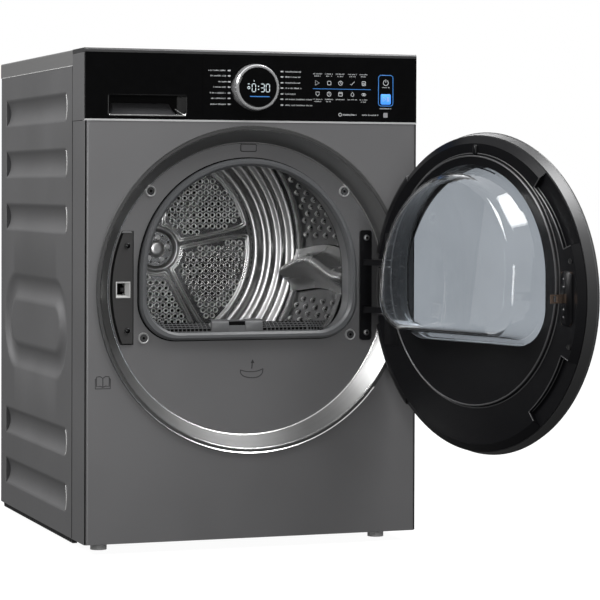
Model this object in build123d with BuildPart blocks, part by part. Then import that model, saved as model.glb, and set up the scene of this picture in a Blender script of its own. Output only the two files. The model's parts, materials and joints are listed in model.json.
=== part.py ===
from build123d import *
import math
import os

# Free-standing heat-pump tumble dryer, door open. Millimetres.
# X to the right, Y to the back, Z up. The origin is on the floor, under the middle of the cabinet.

# Cabinet
CABINET_WIDTH = 595.0
CABINET_DEPTH = 600.0
CABINET_HEIGHT = 845.0
PANEL_BOTTOM = 18.0
SHEET = 1.0
FLANGE = 80.0
EDGE_RADIUS = 6.0
FRONT_Y = -CABINET_DEPTH / 2
REAR_Y = CABINET_DEPTH / 2
SIDE_X = CABINET_WIDTH / 2

# Pressed grooves of the side panels
GROOVE_DEPTH = 8.0
GROOVE_LENGTH = 435.0
GROOVE_WIDTH = 45.0
GROOVE_Y = 42.0
GROOVE_HEIGHTS = (750.0, 655.0, 558.0, 178.0, 83.0)
OVAL_Z = 367.5
OVAL_OUTER = (452.0, 169.0)
OVAL_INNER = (360.0, 85.0)
GROOVE_DRAFT = 40.0

# Control fascia and top
FASCIA_BOTTOM = 727.0
FASCIA_TOP = 838.0
FASCIA_DEPTH = FLANGE
FASCIA_PLATE = 5.0
FASCIA_WALL = 2.5
LOWER_TRIM = 3.0
FASCIA_SPLIT_X = -92.6
LID_BOTTOM = 818.0
LID_WALL = 3.0
LID_OVERHANG = 6.0

# Selector dial
DIAL_X = 1.0
DIAL_Z = 783.0
DIAL_RADIUS = 40.0
DIAL_HEIGHT = 14.0
DISPLAY_RADIUS = 33.4
SLEEVE_RADIUS = 38.0

# Door recess
RECESS_Z = 440.5
RECESS_DEPTH = 30.0
RING_LIP_RADIUS = 278.0
RING_MOUTH_RADIUS = 270.5
RING_FLOOR_RADIUS = 249.0
RING_WALL = 2.5
RING_LIP = 3.0
RING_SEAT_RADIUS = RING_MOUTH_RADIUS + 4.0

# Loading opening, an arch over a sill
ARCH_Z = 467.0
OPENING_HALF = 192.0
OPENING_SILL = 358.5
CORNER = 64.0
GASKET_WIDTH = 8.5
GASKET_FLANGE = 4.0
GASKET_FRONT = 18.0
SLEEVE_FLARE = 8.0

# Door, described shut and swung open about the hinge
DOOR_OPEN = 107.0
HINGE_X = 242.0
HINGE_DEPTH = -9.0
DOOR_Z = 440.0
DOOR_RADIUS = 259.0
RIM_RADIUS = 264.5
FACE_RADIUS = 247.0
DOOR_INNER = 12.0
DOOR_BACK = 2.0
RIM_DEPTH = -14.0
DOOR_FRONT = -27.0
GLASS_RADIUS = 214.0
GLASS_THICK = 4.0
RAISED_RING_RADIUS = 207.0
RAISED_RING_Z = 462.0
RAISED_RING = 5.0
BOWL_ARCH_Z = 472.0
BOWL_HALF = 179.0
BOWL_SILL = 361.5
BOWL_NECK = 17.0
BOWL_NECK_DRAFT = 2.5
BOWL_NECK_RISE = 8.0
BOWL_END = 84.0
BOWL_TILT = 4.5
BOWL_DRAFT = 14.0
BOWL_RISE = 18.5
BOWL_ROUND = 18.0
BOWL_WALL = 4.5
HINGE_Y = FRONT_Y + HINGE_DEPTH

# Hinge
PIN_RADIUS = 4.0
RUNNING_FIT = 0.05
BARREL_RADIUS = 6.5
ARM_HEIGHTS = (402.0, 484.0)
ARM_THICK = 10.0
ARM_SLOT = 15.0
LEAF_HEIGHT = 64.0

# Latch
LATCH_X = -224.0
LATCH_Z = 441.0
LATCH_WIDTH = 25.0
LATCH_TALL = 27.0
CATCH_SIZE = 6.0

# Drum
DRUM_Z = 495.0
DRUM_RADIUS = 284.0
DRUM_FRONT = 114.0
DRUM_LIP_RADIUS = 246.0
DRUM_BACK_Y = 270.0
DRUM_SHEET = 1.2
BELT_Y = -15.0
BELT_WIDTH = 12.0
BELT_THICK = 4.0
BELT_GAP = 0.4
TRACK_RADIUS = 279.0
TRACK_HALF = 9.0
SHAFT_RADIUS = 12.5
HUB_RADIUS = 32.0
SPOKES = 5
HOLE_PITCH = 12.5
HOLE_RADIUS = 2.7
LIFTERS = 3
LIFTER_HEIGHT = 46.0

# Front bulkhead and drum rollers
BULKHEAD_FRONT = 80.0
BULKHEAD_THICK = 6.0
BULKHEAD_HALF = 284.0
BULKHEAD_TOP = 700.0
SEAL_RING_RADIUS = 242.0
SEAL_RING_WALL = 4.0
ROLLER_RADIUS = 30.0
ROLLER_GAP = 0.4
ROLLER_ANGLE = 35.0
ROLLER_DEPTH = 121.0
ROLLER_WIDTH = 20.0
AXLE_RADIUS = 5.0

# Lint filter
FILTER_WIDTH = 260.0
FILTER_FRONT = 90.0
FILTER_THICK = 15.0
FILTER_BOTTOM = 208.0
FILTER_TOP = 370.0
FILTER_HANDLE = 94.0
FILTER_HANDLE_TOP = 384.0
FILTER_RIM = 8.0
FILTER_PLAY = 2.0

# Water container
TANK_LEFT = -288.0
TANK_RIGHT = -100.0
TANK_BOTTOM = 733.0
TANK_SHOULDER = 772.0
TANK_TOP = 812.0
TANK_SLOPE_X = -170.0
TANK_FRONT = 30.0
TANK_LENGTH = 460.0
TANK_WALL = 2.5
TRAY_GAP = 0.6
TRAY_WALL = 2.0
POCKET = (-256.0, -122.0, 733.5, 766.0)

# Base and drive
BASE_WIDTH = 574.0
BASE_DEPTH = 580.0
BASE_HEIGHT = 80.0
BASE_WALL = 4.0
BASE_FLOOR = PANEL_BOTTOM + BASE_WALL
PARTITION_X = -48.0
MOTOR_X = 140.0
MOTOR_Z = 118.0
MOTOR_RADIUS = 55.0
MOTOR_FRONT = 0.0
MOTOR_LENGTH = 130.0
ROTOR_RADIUS = 7.0
PULLEY_RADIUS = 14.0
FAN_RADIUS = 70.0
FAN_FRONT = 185.0
FAN_LENGTH = 77.0
EXCHANGER_X = (-262.0, -62.0)
EXCHANGER_HEIGHT = 150.0
EXCHANGER_LENGTH = 130.0
EXCHANGER_SLOTS = 12
COMPRESSOR_X = 190.0
COMPRESSOR_Y = -120.0
COMPRESSOR_RADIUS = 62.0
COMPRESSOR_TOP = 205.0
DOME_RADIUS = 30.0
PUMP = (15.0, 225.0)
PUMP_RADIUS = 28.0
PUMP_HEIGHT = 70.0

# Feet
FOOT_X = 253.0
FOOT_Y = 228.0
FOOT_RADIUS = 14.0
FOOT_PAD = 10.0
STUD_RADIUS = 6.0
FOOT_BOSS = 20.0
FOOT_HEX = 10.0
STUD_LENGTH = 50.0

# Drain spigot and cord inlet at the rear, as X and Z
DRAIN = (-200.0, 60.0)
SPIGOT_RADIUS = 8.0
SPIGOT_BORE = 5.0
SPIGOT_LENGTH = 28.0
CORD_INLET = (200.0, 60.0)
GLAND_SHANK = 9.0
GLAND_BORE = 4.2
GLAND_HEAD = 10.0
GLAND_INSIDE = 6.0

RECESS_SECTION = Plane((0, FRONT_Y, RECESS_Z))
DRUM_SECTION = Plane((0, 0, DRUM_Z))
DIAL_SECTION = Plane((DIAL_X, FRONT_Y, DIAL_Z))
MOTOR_SECTION = Plane((MOTOR_X, 0, MOTOR_Z))
ALONG_Y = (0, 1, 0)

os.makedirs("parts", exist_ok=True)


def write(piece, name):
    """Label a finished piece and write its file."""
    piece.part.label = name
    export_step(piece.part, f"parts/{name}.step")


def front_plane(depth):
    """Plane facing forwards, at a depth behind the cabinet's front."""
    return Plane.XZ.offset(-(FRONT_Y + depth))


def door_plane(depth):
    """The same plane carried round with the open door."""
    from_hinge = Vector(-HINGE_X, FRONT_Y + depth - HINGE_Y).rotate(Axis.Z, DOOR_OPEN)
    across = Vector(1, 0).rotate(Axis.Z, DOOR_OPEN)
    outward = Vector(0, -1).rotate(Axis.Z, DOOR_OPEN)
    return Plane(Vector(HINGE_X, HINGE_Y) + from_hinge, x_dir=across, z_dir=outward)


def opening_shape(grow, mode=Mode.ADD):
    """Arched loading opening, grown or shrunk all round, in X and Z."""
    arch_shape(ARCH_Z, OPENING_HALF + grow, OPENING_SILL - grow, CORNER + grow / 2, mode)


def bowl_shape(draft, rise, mode=Mode.ADD):
    """Outline of the door's bowl, drawn in at the sides and raised at the sill, in X and Z."""
    arch_shape(BOWL_ARCH_Z, BOWL_HALF - draft, BOWL_SILL + rise, CORNER - draft / 2, mode)


def arch_shape(centre_z, half, sill, corner, mode=Mode.ADD):
    """Arch over a flat sill with rounded lower corners, in X and Z."""
    with BuildLine() as outline:
        CenterArc((0, centre_z), half, 0, 180)
        Line((-half, centre_z), (-half, sill + corner))
        CenterArc((-half + corner, sill + corner), corner, 180, 90)
        Line((-half + corner, sill), (half - corner, sill))
        CenterArc((half - corner, sill + corner), corner, 270, 90)
        Line((half, sill + corner), (half, centre_z))
    make_face(outline.edges(), mode=mode)


def span(x0, x1, y0, y1, mode=Mode.ADD):
    """Rectangle between two corners of the sketch."""
    with Locations(((x0 + x1) / 2, (y0 + y1) / 2)):
        Rectangle(x1 - x0, y1 - y0, mode=mode)


def profile(*points):
    """Closed polygon of a turned or bent section."""
    with BuildLine() as outline:
        Polyline(*points, close=True)
    make_face(outline.edges())


def bent_sheet(thickness, *points):
    """Section of a thin sheet that follows the given points."""
    with BuildLine() as outline:
        bend = Polyline(*points)
        offset(bend, amount=thickness, side=Side.LEFT)
    make_face(outline.edges())


def screws(plane, points, head_radius, head, shank_radius, shank):
    """Round-headed screws standing on a plane, with a head height along its normal."""
    with BuildSketch(plane) as heads:
        with Locations(*points):
            Circle(head_radius)
    extrude(heads.sketch, amount=head)
    with BuildSketch(plane) as shanks:
        with Locations(*points):
            Circle(shank_radius)
    extrude(shanks.sketch, amount=-math.copysign(shank, head))


def screw_holes(plane, points, radius, depth):
    """Holes for the shanks of those screws."""
    with BuildSketch(plane) as holes:
        with Locations(*points):
            Circle(radius)
    extrude(holes.sketch, amount=depth, mode=Mode.SUBTRACT)


# Screw places on the recess floor, the latch and hinge plates, the door and the rear
SCREW_RADIUS = 2.0
RECESS_SCREWS = ((-175, 607), (175, 607), (-187, 359), (187, 359))
LATCH_SCREWS = ((-216, 515), (-216, 372))
HINGE_SCREWS = ((216, 527), (216, 362))
DOOR_LATCH_SCREWS = ((-232, 500), (-229, 365))
DOOR_LEAF_SCREWS = ((200, 425), (200, 461))
REAR_SCREWS = tuple((x, z) for x in (-280, 280) for z in (60, 240, 500, 760))
PLATE_DEPTH = RECESS_DEPTH - 3.0
PLATE_SPAN = (349.0, 540.0)
LATCH_PLATE_X = -206.0
HINGE_PLATE_X = (204.0, 226.0)
HINGE_ARM_X = 214.0

# Base tray with its air channel and foot bosses
with BuildPart() as base_tray:
    with BuildSketch(Plane.XY.offset(PANEL_BOTTOM)):
        Rectangle(BASE_WIDTH, BASE_DEPTH)
    extrude(amount=BASE_HEIGHT)
    with BuildSketch(Plane.XY.offset(BASE_FLOOR)):
        Rectangle(BASE_WIDTH - 2 * BASE_WALL, BASE_DEPTH - 2 * BASE_WALL)
    extrude(amount=BASE_HEIGHT, mode=Mode.SUBTRACT)
    with BuildSketch(Plane.XY.offset(BASE_FLOOR)):
        span(PARTITION_X - BASE_WALL / 2, PARTITION_X + BASE_WALL / 2, -BASE_DEPTH / 2, BASE_DEPTH / 2)
        with GridLocations(2 * FOOT_X, 2 * FOOT_Y, 2, 2):
            Circle(FOOT_BOSS)
    extrude(amount=BASE_HEIGHT - BASE_WALL)
    with BuildSketch(Plane.XZ.offset(-BASE_DEPTH / 2)):
        with Locations(DRAIN):
            Circle(SPIGOT_RADIUS)
    extrude(amount=-SPIGOT_LENGTH)
    with BuildSketch(Plane.XZ.offset(-BASE_DEPTH / 2 + BASE_WALL)):
        with Locations(DRAIN):
            Circle(SPIGOT_BORE)
        with Locations(CORD_INLET):
            Circle(GLAND_SHANK)
    extrude(amount=-SPIGOT_LENGTH - BASE_WALL, mode=Mode.SUBTRACT)
    with BuildSketch(Plane.XY.offset(PANEL_BOTTOM)):
        with GridLocations(2 * FOOT_X, 2 * FOOT_Y, 2, 2):
            Circle(STUD_RADIUS + RUNNING_FIT)
    extrude(amount=STUD_LENGTH + 10, mode=Mode.SUBTRACT)
write(base_tray, "base_tray")

# Levelling feet, each a pad on a threaded stud
for end, foot_y in (("front", -FOOT_Y), ("rear", FOOT_Y)):
    for side, foot_x in (("left", -FOOT_X), ("right", FOOT_X)):
        with BuildPart() as foot:
            with BuildSketch(Plane.XY):
                with Locations((foot_x, foot_y)):
                    Circle(FOOT_RADIUS)
            extrude(amount=FOOT_PAD)
            chamfer(foot.edges().group_by(Axis.Z)[-1], 2)
            with BuildSketch(Plane.XY.offset(FOOT_PAD)):
                with Locations((foot_x, foot_y)):
                    RegularPolygon(FOOT_HEX, 6)
            extrude(amount=PANEL_BOTTOM - FOOT_PAD - 0.3)
            with BuildSketch(Plane.XY.offset(PANEL_BOTTOM - 1)):
                with Locations((foot_x, foot_y)):
                    Circle(STUD_RADIUS)
            extrude(amount=STUD_LENGTH)
        write(foot, f"foot_{end}_{side}")

# Side panels, thin sheet with grooves pressed inwards
with BuildPart() as left_side_panel:
    outer_face = Plane.YZ.offset(-SIDE_X)
    inner_face = Plane.YZ.offset(-SIDE_X + SHEET)
    straight_grooves = [(GROOVE_Y, z) for z in GROOVE_HEIGHTS]
    with BuildSketch(outer_face):
        span(FRONT_Y + FLANGE + 0.5, REAR_Y, PANEL_BOTTOM, LID_BOTTOM - 0.5)
    extrude(amount=SHEET)
    with BuildSketch(inner_face):
        with Locations(*straight_grooves):
            SlotOverall(GROOVE_LENGTH, GROOVE_WIDTH)
        with Locations((GROOVE_Y, OVAL_Z)):
            SlotOverall(*OVAL_OUTER)
    extrude(amount=GROOVE_DEPTH, taper=GROOVE_DRAFT)
    with BuildSketch(outer_face):
        with Locations(*straight_grooves):
            SlotOverall(GROOVE_LENGTH, GROOVE_WIDTH)
        with Locations((GROOVE_Y, OVAL_Z)):
            SlotOverall(*OVAL_OUTER)
    extrude(amount=GROOVE_DEPTH, taper=GROOVE_DRAFT, mode=Mode.SUBTRACT)
    with BuildSketch(outer_face):
        with Locations((GROOVE_Y, OVAL_Z)):
            SlotOverall(*OVAL_INNER)
    extrude(amount=GROOVE_DEPTH + SHEET, taper=-GROOVE_DRAFT)
    with BuildSketch(inner_face):
        with Locations((GROOVE_Y, OVAL_Z)):
            SlotOverall(OVAL_INNER[0] - 2 * SHEET, OVAL_INNER[1] - 2 * SHEET)
    extrude(amount=GROOVE_DEPTH, taper=-GROOVE_DRAFT, mode=Mode.SUBTRACT)
write(left_side_panel, "left_side_panel")

with BuildPart() as right_side_panel:
    mirror(left_side_panel.part, about=Plane.YZ)
write(right_side_panel, "right_side_panel")

# Front panel, wrapped round the corners, with the round recess for the door
with BuildPart() as front_panel:
    with BuildSketch(Plane.XY.offset(PANEL_BOTTOM)):
        with Locations((0, FRONT_Y + FLANGE)):
            RectangleRounded(CABINET_WIDTH, 2 * FLANGE, EDGE_RADIUS)
            RectangleRounded(
                CABINET_WIDTH - 2 * SHEET, 2 * FLANGE - 2 * SHEET, EDGE_RADIUS - SHEET, mode=Mode.SUBTRACT
            )
        span(-SIDE_X, SIDE_X, FRONT_Y + FLANGE, FRONT_Y + 2 * FLANGE, Mode.SUBTRACT)
    extrude(amount=FASCIA_BOTTOM - LOWER_TRIM - PANEL_BOTTOM)
    with BuildSketch(front_plane(0)):
        with Locations((0, RECESS_Z)):
            Circle(RING_SEAT_RADIUS)
    extrude(amount=-SHEET, mode=Mode.SUBTRACT)
    with BuildSketch(RECESS_SECTION):
        profile(
            (RING_SEAT_RADIUS, 0),
            (RING_SEAT_RADIUS + 1.5, 0),
            (RING_SEAT_RADIUS + 1.5, SHEET),
            (RING_FLOOR_RADIUS + RING_WALL + 1.5, RECESS_DEPTH + SHEET),
            (0, RECESS_DEPTH + SHEET),
            (0, RECESS_DEPTH),
            (RING_FLOOR_RADIUS + RING_WALL, RECESS_DEPTH),
        )
    revolve(axis=Axis(RECESS_SECTION.origin, ALONG_Y))
    with BuildSketch(front_plane(RECESS_DEPTH)):
        opening_shape(0)
        with Locations((LATCH_X, LATCH_Z)):
            Rectangle(LATCH_WIDTH, LATCH_TALL)
    extrude(amount=-2 * SHEET, mode=Mode.SUBTRACT)
    screw_holes(front_plane(RECESS_DEPTH), RECESS_SCREWS + LATCH_SCREWS + HINGE_SCREWS, SCREW_RADIUS, -2)
write(front_panel, "front_panel")

# Bright ring round the recess
with BuildPart() as recess_ring:
    with BuildSketch(RECESS_SECTION):
        profile(
            (RING_LIP_RADIUS, 0),
            (RING_LIP_RADIUS, -RING_LIP + 1.5),
            (RING_LIP_RADIUS - 1.5, -RING_LIP),
            (RING_MOUTH_RADIUS + 2, -RING_LIP),
            (RING_MOUTH_RADIUS, -0.5),
            (RING_FLOOR_RADIUS, RECESS_DEPTH),
            (RING_FLOOR_RADIUS + RING_WALL, RECESS_DEPTH),
            (RING_SEAT_RADIUS, 0),
        )
    revolve(axis=Axis(RECESS_SECTION.origin, ALONG_Y))
write(recess_ring, "recess_ring")

# Rubber collar of the loading opening
with BuildPart() as opening_gasket:
    with BuildSketch(front_plane(GASKET_FRONT)):
        opening_shape(GASKET_FLANGE)
        opening_shape(-GASKET_WIDTH, Mode.SUBTRACT)
    extrude(amount=GASKET_FRONT - RECESS_DEPTH)
    chamfer(opening_gasket.faces().sort_by(Axis.Y)[0].edges(), 4)
    with BuildSketch(front_plane(RECESS_DEPTH)):
        opening_shape(-0.2)
    extrude(amount=-2 * SHEET)
    with BuildSketch(front_plane(RECESS_DEPTH + 2 * SHEET)):
        opening_shape(-0.2)
    with BuildSketch(front_plane(BULKHEAD_FRONT)):
        opening_shape(SLEEVE_FLARE - 0.2)
    loft(ruled=True)
    with BuildSketch(front_plane(RECESS_DEPTH)):
        opening_shape(-GASKET_WIDTH)
    with BuildSketch(front_plane(BULKHEAD_FRONT)):
        opening_shape(SLEEVE_FLARE - GASKET_WIDTH)
    loft(ruled=True, mode=Mode.SUBTRACT)
write(opening_gasket, "opening_gasket")

# Front bulkhead that closes the drum's mouth and holds the rollers and the filter
FILTER_HALF = FILTER_WIDTH / 2
with BuildPart() as front_bulkhead:
    with BuildSketch(front_plane(BULKHEAD_FRONT)):
        span(-BULKHEAD_HALF, BULKHEAD_HALF, PANEL_BOTTOM + BASE_HEIGHT, BULKHEAD_TOP)
        with Locations((0, DRUM_Z)):
            Circle(SEAL_RING_RADIUS + 10)
    extrude(amount=-BULKHEAD_THICK)
    with BuildSketch(front_plane(BULKHEAD_FRONT)):
        with Locations((0, DRUM_Z)):
            Circle(SEAL_RING_RADIUS)
            Circle(SEAL_RING_RADIUS - SEAL_RING_WALL, mode=Mode.SUBTRACT)
    extrude(amount=BULKHEAD_FRONT - DRUM_FRONT - 6)
    with BuildSketch(front_plane(BULKHEAD_FRONT)):
        span(-FILTER_HALF - 5, FILTER_HALF + 5, FILTER_BOTTOM - 6, OPENING_SILL)
    extrude(amount=BULKHEAD_FRONT - DRUM_FRONT + 2)
    with BuildSketch(front_plane(BULKHEAD_FRONT)):
        opening_shape(SLEEVE_FLARE + 1 - GASKET_WIDTH)
    extrude(amount=BULKHEAD_FRONT - DRUM_FRONT - 6, mode=Mode.SUBTRACT)
    with BuildSketch(front_plane(FILTER_FRONT - FILTER_PLAY)):
        span(
            -FILTER_HALF - FILTER_PLAY,
            FILTER_HALF + FILTER_PLAY,
            FILTER_BOTTOM - FILTER_PLAY,
            FILTER_TOP,
        )
        span(-FILTER_HALF + FILTER_RIM, FILTER_HALF - FILTER_RIM, FILTER_BOTTOM - FILTER_RIM, FILTER_BOTTOM)
    extrude(amount=-FILTER_THICK - 2 * FILTER_PLAY, mode=Mode.SUBTRACT)
write(front_bulkhead, "front_bulkhead")

# Felt ring between the bulkhead and the turning drum
with BuildPart() as front_felt_seal:
    with BuildSketch(front_plane(DRUM_FRONT - 1)):
        with Locations((0, DRUM_Z)):
            Circle(DRUM_LIP_RADIUS - 0.4)
            Circle(SEAL_RING_RADIUS, mode=Mode.SUBTRACT)
    extrude(amount=-6)
write(front_felt_seal, "front_felt_seal")

# Lint filter, a frame with a handle round a flat mesh
MESH = (-FILTER_HALF + FILTER_RIM, FILTER_HALF - FILTER_RIM, FILTER_BOTTOM + FILTER_RIM, FILTER_TOP - FILTER_RIM)
with BuildPart() as lint_filter:
    with BuildSketch(front_plane(FILTER_FRONT)):
        span(-FILTER_HALF, FILTER_HALF, FILTER_BOTTOM, FILTER_TOP)
        span(*MESH, Mode.SUBTRACT)
    extrude(amount=-FILTER_THICK)
    with BuildSketch(front_plane(FILTER_FRONT)):
        span(-FILTER_HANDLE / 2, FILTER_HANDLE / 2, FILTER_TOP, FILTER_HANDLE_TOP)
    extrude(amount=-5)
write(lint_filter, "lint_filter")

with BuildPart() as lint_mesh:
    with BuildSketch(front_plane(FILTER_FRONT + 6)):
        span(*MESH)
    extrude(amount=-3)
write(lint_mesh, "lint_mesh")

# Latch on the left of the recess
PLATE_LOW, PLATE_HIGH = PLATE_SPAN
with BuildPart() as latch_plate:
    with BuildSketch(front_plane(PLATE_DEPTH)):
        with Locations((0, RECESS_Z)):
            Circle(RING_FLOOR_RADIUS - 3)
        span(-SIDE_X, LATCH_PLATE_X, PLATE_LOW, PLATE_HIGH, Mode.INTERSECT)
        with Locations((LATCH_X, LATCH_Z)):
            Rectangle(LATCH_WIDTH, LATCH_TALL, mode=Mode.SUBTRACT)
    extrude(amount=PLATE_DEPTH - RECESS_DEPTH)
    screw_holes(front_plane(PLATE_DEPTH), LATCH_SCREWS, SCREW_RADIUS, PLATE_DEPTH - RECESS_DEPTH)
write(latch_plate, "latch_plate")

LATCH_WALL = 2.0
LATCH_BACK = 62.0
with BuildPart() as latch_housing:
    with BuildSketch(front_plane(PLATE_DEPTH - 1)):
        with Locations((LATCH_X, LATCH_Z)):
            Rectangle(LATCH_WIDTH, LATCH_TALL)
    extrude(amount=PLATE_DEPTH - 1 - LATCH_BACK)
    with BuildSketch(front_plane(PLATE_DEPTH - 1)):
        with Locations((LATCH_X, LATCH_Z)):
            Rectangle(LATCH_WIDTH - 2 * LATCH_WALL, LATCH_TALL - 2 * LATCH_WALL)
    extrude(amount=PLATE_DEPTH - 1 - LATCH_BACK + LATCH_WALL, mode=Mode.SUBTRACT)
write(latch_housing, "latch_housing")

# Striker tongue on the door, and the sprung catch that drops into its window
STRIKER_DEPTH = 47.0
STRIKER_BASE = 2.0
STRIKER_THICK = 3.0
STRIKER_TALL = 14.0
STRIKER_PLATE = (24.0, 85.0)
WINDOW_DEPTH = 38.0
WINDOW = 9.0
CATCH_TIP = LATCH_X + 0.5
CATCH_HOME = LATCH_X + LATCH_WIDTH / 2 - LATCH_WALL - 5.5
with BuildPart() as latch_catch:
    with BuildSketch(Plane.XY.offset(LATCH_Z - CATCH_SIZE / 2)):
        profile(
            (CATCH_HOME, FRONT_Y + WINDOW_DEPTH - CATCH_SIZE / 2),
            (CATCH_HOME, FRONT_Y + WINDOW_DEPTH + CATCH_SIZE / 2),
            (CATCH_TIP, FRONT_Y + WINDOW_DEPTH + CATCH_SIZE / 2),
            (CATCH_TIP - 2, FRONT_Y + WINDOW_DEPTH + 1),
            (CATCH_TIP - 2, FRONT_Y + WINDOW_DEPTH - 1),
            (CATCH_TIP, FRONT_Y + WINDOW_DEPTH - CATCH_SIZE / 2),
        )
    extrude(amount=CATCH_SIZE)
    with BuildSketch(Plane.XY.offset(LATCH_Z - CATCH_SIZE)):
        span(CATCH_HOME - 1, CATCH_HOME, FRONT_Y + WINDOW_DEPTH - 6, FRONT_Y + WINDOW_DEPTH + 6)
    extrude(amount=2 * CATCH_SIZE)
write(latch_catch, "latch_catch")

# Hinge plate with two arms that reach forwards to the pin
with BuildPart() as hinge_plate:
    with BuildSketch(front_plane(PLATE_DEPTH)):
        span(*HINGE_PLATE_X, PLATE_LOW, PLATE_HIGH)
    extrude(amount=PLATE_DEPTH - RECESS_DEPTH)
    fillet(hinge_plate.edges().filter_by(Axis.Y), 5)
    for arm_z in ARM_HEIGHTS:
        with BuildSketch(Plane.XY.offset(arm_z - ARM_THICK / 2)):
            with Locations((HINGE_X, HINGE_Y)):
                Circle(BARREL_RADIUS)
            with Locations((HINGE_ARM_X, FRONT_Y + PLATE_DEPTH - 4)):
                Circle(BARREL_RADIUS - 1)
            make_hull()
        extrude(amount=ARM_THICK)
    with BuildSketch(Plane.XY.offset(PLATE_LOW)):
        with Locations((HINGE_X, HINGE_Y)):
            Circle(PIN_RADIUS + RUNNING_FIT)
    extrude(amount=PLATE_HIGH - PLATE_LOW, mode=Mode.SUBTRACT)
    screw_holes(front_plane(PLATE_DEPTH), HINGE_SCREWS, SCREW_RADIUS, PLATE_DEPTH - RECESS_DEPTH)
write(hinge_plate, "hinge_plate")

with BuildPart() as hinge_pin:
    with BuildSketch(Plane.XY.offset(ARM_HEIGHTS[0] - ARM_THICK / 2 - 2)):
        with Locations((HINGE_X, HINGE_Y)):
            Circle(PIN_RADIUS)
    extrude(amount=ARM_HEIGHTS[1] - ARM_HEIGHTS[0] + ARM_THICK + 4)
write(hinge_pin, "hinge_pin")

with BuildPart() as front_screws:
    screws(front_plane(RECESS_DEPTH), RECESS_SCREWS, 6.5, 2.5, SCREW_RADIUS, 10)
    screws(front_plane(PLATE_DEPTH), LATCH_SCREWS + HINGE_SCREWS, 5, 2.5, SCREW_RADIUS, 12)
write(front_screws, "front_screws")

# Door inner frame with finger pockets open to the rim, hinge notches and the raised ring
GRIP_INNER = 229.0
GRIP_ANGLES = ((130.0, 160.0), (203.0, 233.0))
GRIP_DEPTH = 8.2
LEAF_X = (188.0, 232.0)
LEAF_Z = (ARM_HEIGHTS[0] + ARM_HEIGHTS[1]) / 2
NOTCH_X = (204.0, 275.0)
LEAF_THICK = 4.0
BOWL_FIT = 1.0
DOOR_OUTWARD = Axis((0, 0, 0), door_plane(0).z_dir)
DOOR_SECTION = Plane(
    door_plane(0).origin + Vector(0, 0, DOOR_Z), x_dir=door_plane(0).x_dir, z_dir=(0, 0, 1)
)
DOOR_AXIS = Axis(DOOR_SECTION.origin, DOOR_SECTION.y_dir)
with BuildPart() as door_inner_frame:
    with BuildSketch(DOOR_SECTION):
        profile(
            (0, DOOR_BACK),
            (DOOR_RADIUS, DOOR_BACK),
            (DOOR_RADIUS, DOOR_BACK + 2),
            (FACE_RADIUS, DOOR_INNER),
            (0, DOOR_INNER),
        )
    revolve(axis=DOOR_AXIS)
    with BuildSketch(door_plane(DOOR_INNER)):
        with Locations((0, RAISED_RING_Z)):
            Circle(RAISED_RING_RADIUS)
    extrude(amount=-RAISED_RING, taper=30)
    with BuildSketch(door_plane(DOOR_BACK)):
        bowl_shape(-BOWL_FIT, -BOWL_FIT)
    extrude(amount=DOOR_BACK - DOOR_INNER - RAISED_RING, mode=Mode.SUBTRACT)
    with BuildSketch(door_plane(DOOR_INNER)):
        for start, end in GRIP_ANGLES:
            with BuildLine() as pocket:
                inner = CenterArc((0, DOOR_Z), GRIP_INNER, start, end - start)
                outer = CenterArc((0, DOOR_Z), DOOR_RADIUS + 5, start, end - start)
                Line(inner @ 0, outer @ 0)
                Line(inner @ 1, outer @ 1)
            make_face(pocket.edges())
    extrude(amount=GRIP_DEPTH, mode=Mode.SUBTRACT)
    with BuildSketch(door_plane(DOOR_INNER + RAISED_RING)):
        for arm_z in ARM_HEIGHTS:
            span(*NOTCH_X, arm_z - ARM_SLOT / 2, arm_z + ARM_SLOT / 2)
        span(LEAF_X[1] - 6, NOTCH_X[1], ARM_HEIGHTS[0], ARM_HEIGHTS[1])
    extrude(amount=20, mode=Mode.SUBTRACT)
    with BuildSketch(door_plane(DOOR_INNER + RAISED_RING)):
        span(LEAF_X[0] - 0.2, LEAF_X[1], LEAF_Z - LEAF_HEIGHT / 2 - 0.2, LEAF_Z + LEAF_HEIGHT / 2 + 0.2)
    extrude(amount=LEAF_THICK + RAISED_RING, mode=Mode.SUBTRACT)
    screw_holes(door_plane(DOOR_INNER), DOOR_LATCH_SCREWS, SCREW_RADIUS, 8)
    screw_holes(door_plane(DOOR_INNER), DOOR_LEAF_SCREWS, SCREW_RADIUS, 9)
write(door_inner_frame, "door_inner_frame")

# Outer ring of the door, a hollow rim with a seat for the glass
RIM_WALL = 2.5
SEAT = GLASS_RADIUS - 8
with BuildPart() as door_outer_ring:
    with BuildSketch(DOOR_SECTION):
        profile(
            (DOOR_RADIUS + 1.5, DOOR_BACK),
            (RIM_RADIUS, RIM_DEPTH),
            (RIM_RADIUS - 1.5, RIM_DEPTH - 7),
            (RIM_RADIUS - 10, DOOR_FRONT),
            (GLASS_RADIUS, DOOR_FRONT),
            (GLASS_RADIUS, DOOR_FRONT + GLASS_THICK),
            (SEAT, DOOR_FRONT + GLASS_THICK),
            (SEAT, DOOR_FRONT + GLASS_THICK + RIM_WALL),
            (GLASS_RADIUS + RIM_WALL, DOOR_FRONT + GLASS_THICK + RIM_WALL),
            (GLASS_RADIUS + RIM_WALL, DOOR_FRONT + RIM_WALL),
            (RIM_RADIUS - 11, DOOR_FRONT + RIM_WALL),
            (RIM_RADIUS - 4, RIM_DEPTH - 5.5),
            (RIM_RADIUS - RIM_WALL, RIM_DEPTH),
            (DOOR_RADIUS - 2, DOOR_BACK),
        )
    revolve(axis=DOOR_AXIS)
    with BuildSketch(door_plane(DOOR_BACK + 1)):
        for arm_z in ARM_HEIGHTS:
            span(*NOTCH_X, arm_z - ARM_SLOT / 2, arm_z + ARM_SLOT / 2)
    extrude(amount=DOOR_BACK + 1 - RIM_DEPTH + 7, mode=Mode.SUBTRACT)
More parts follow.
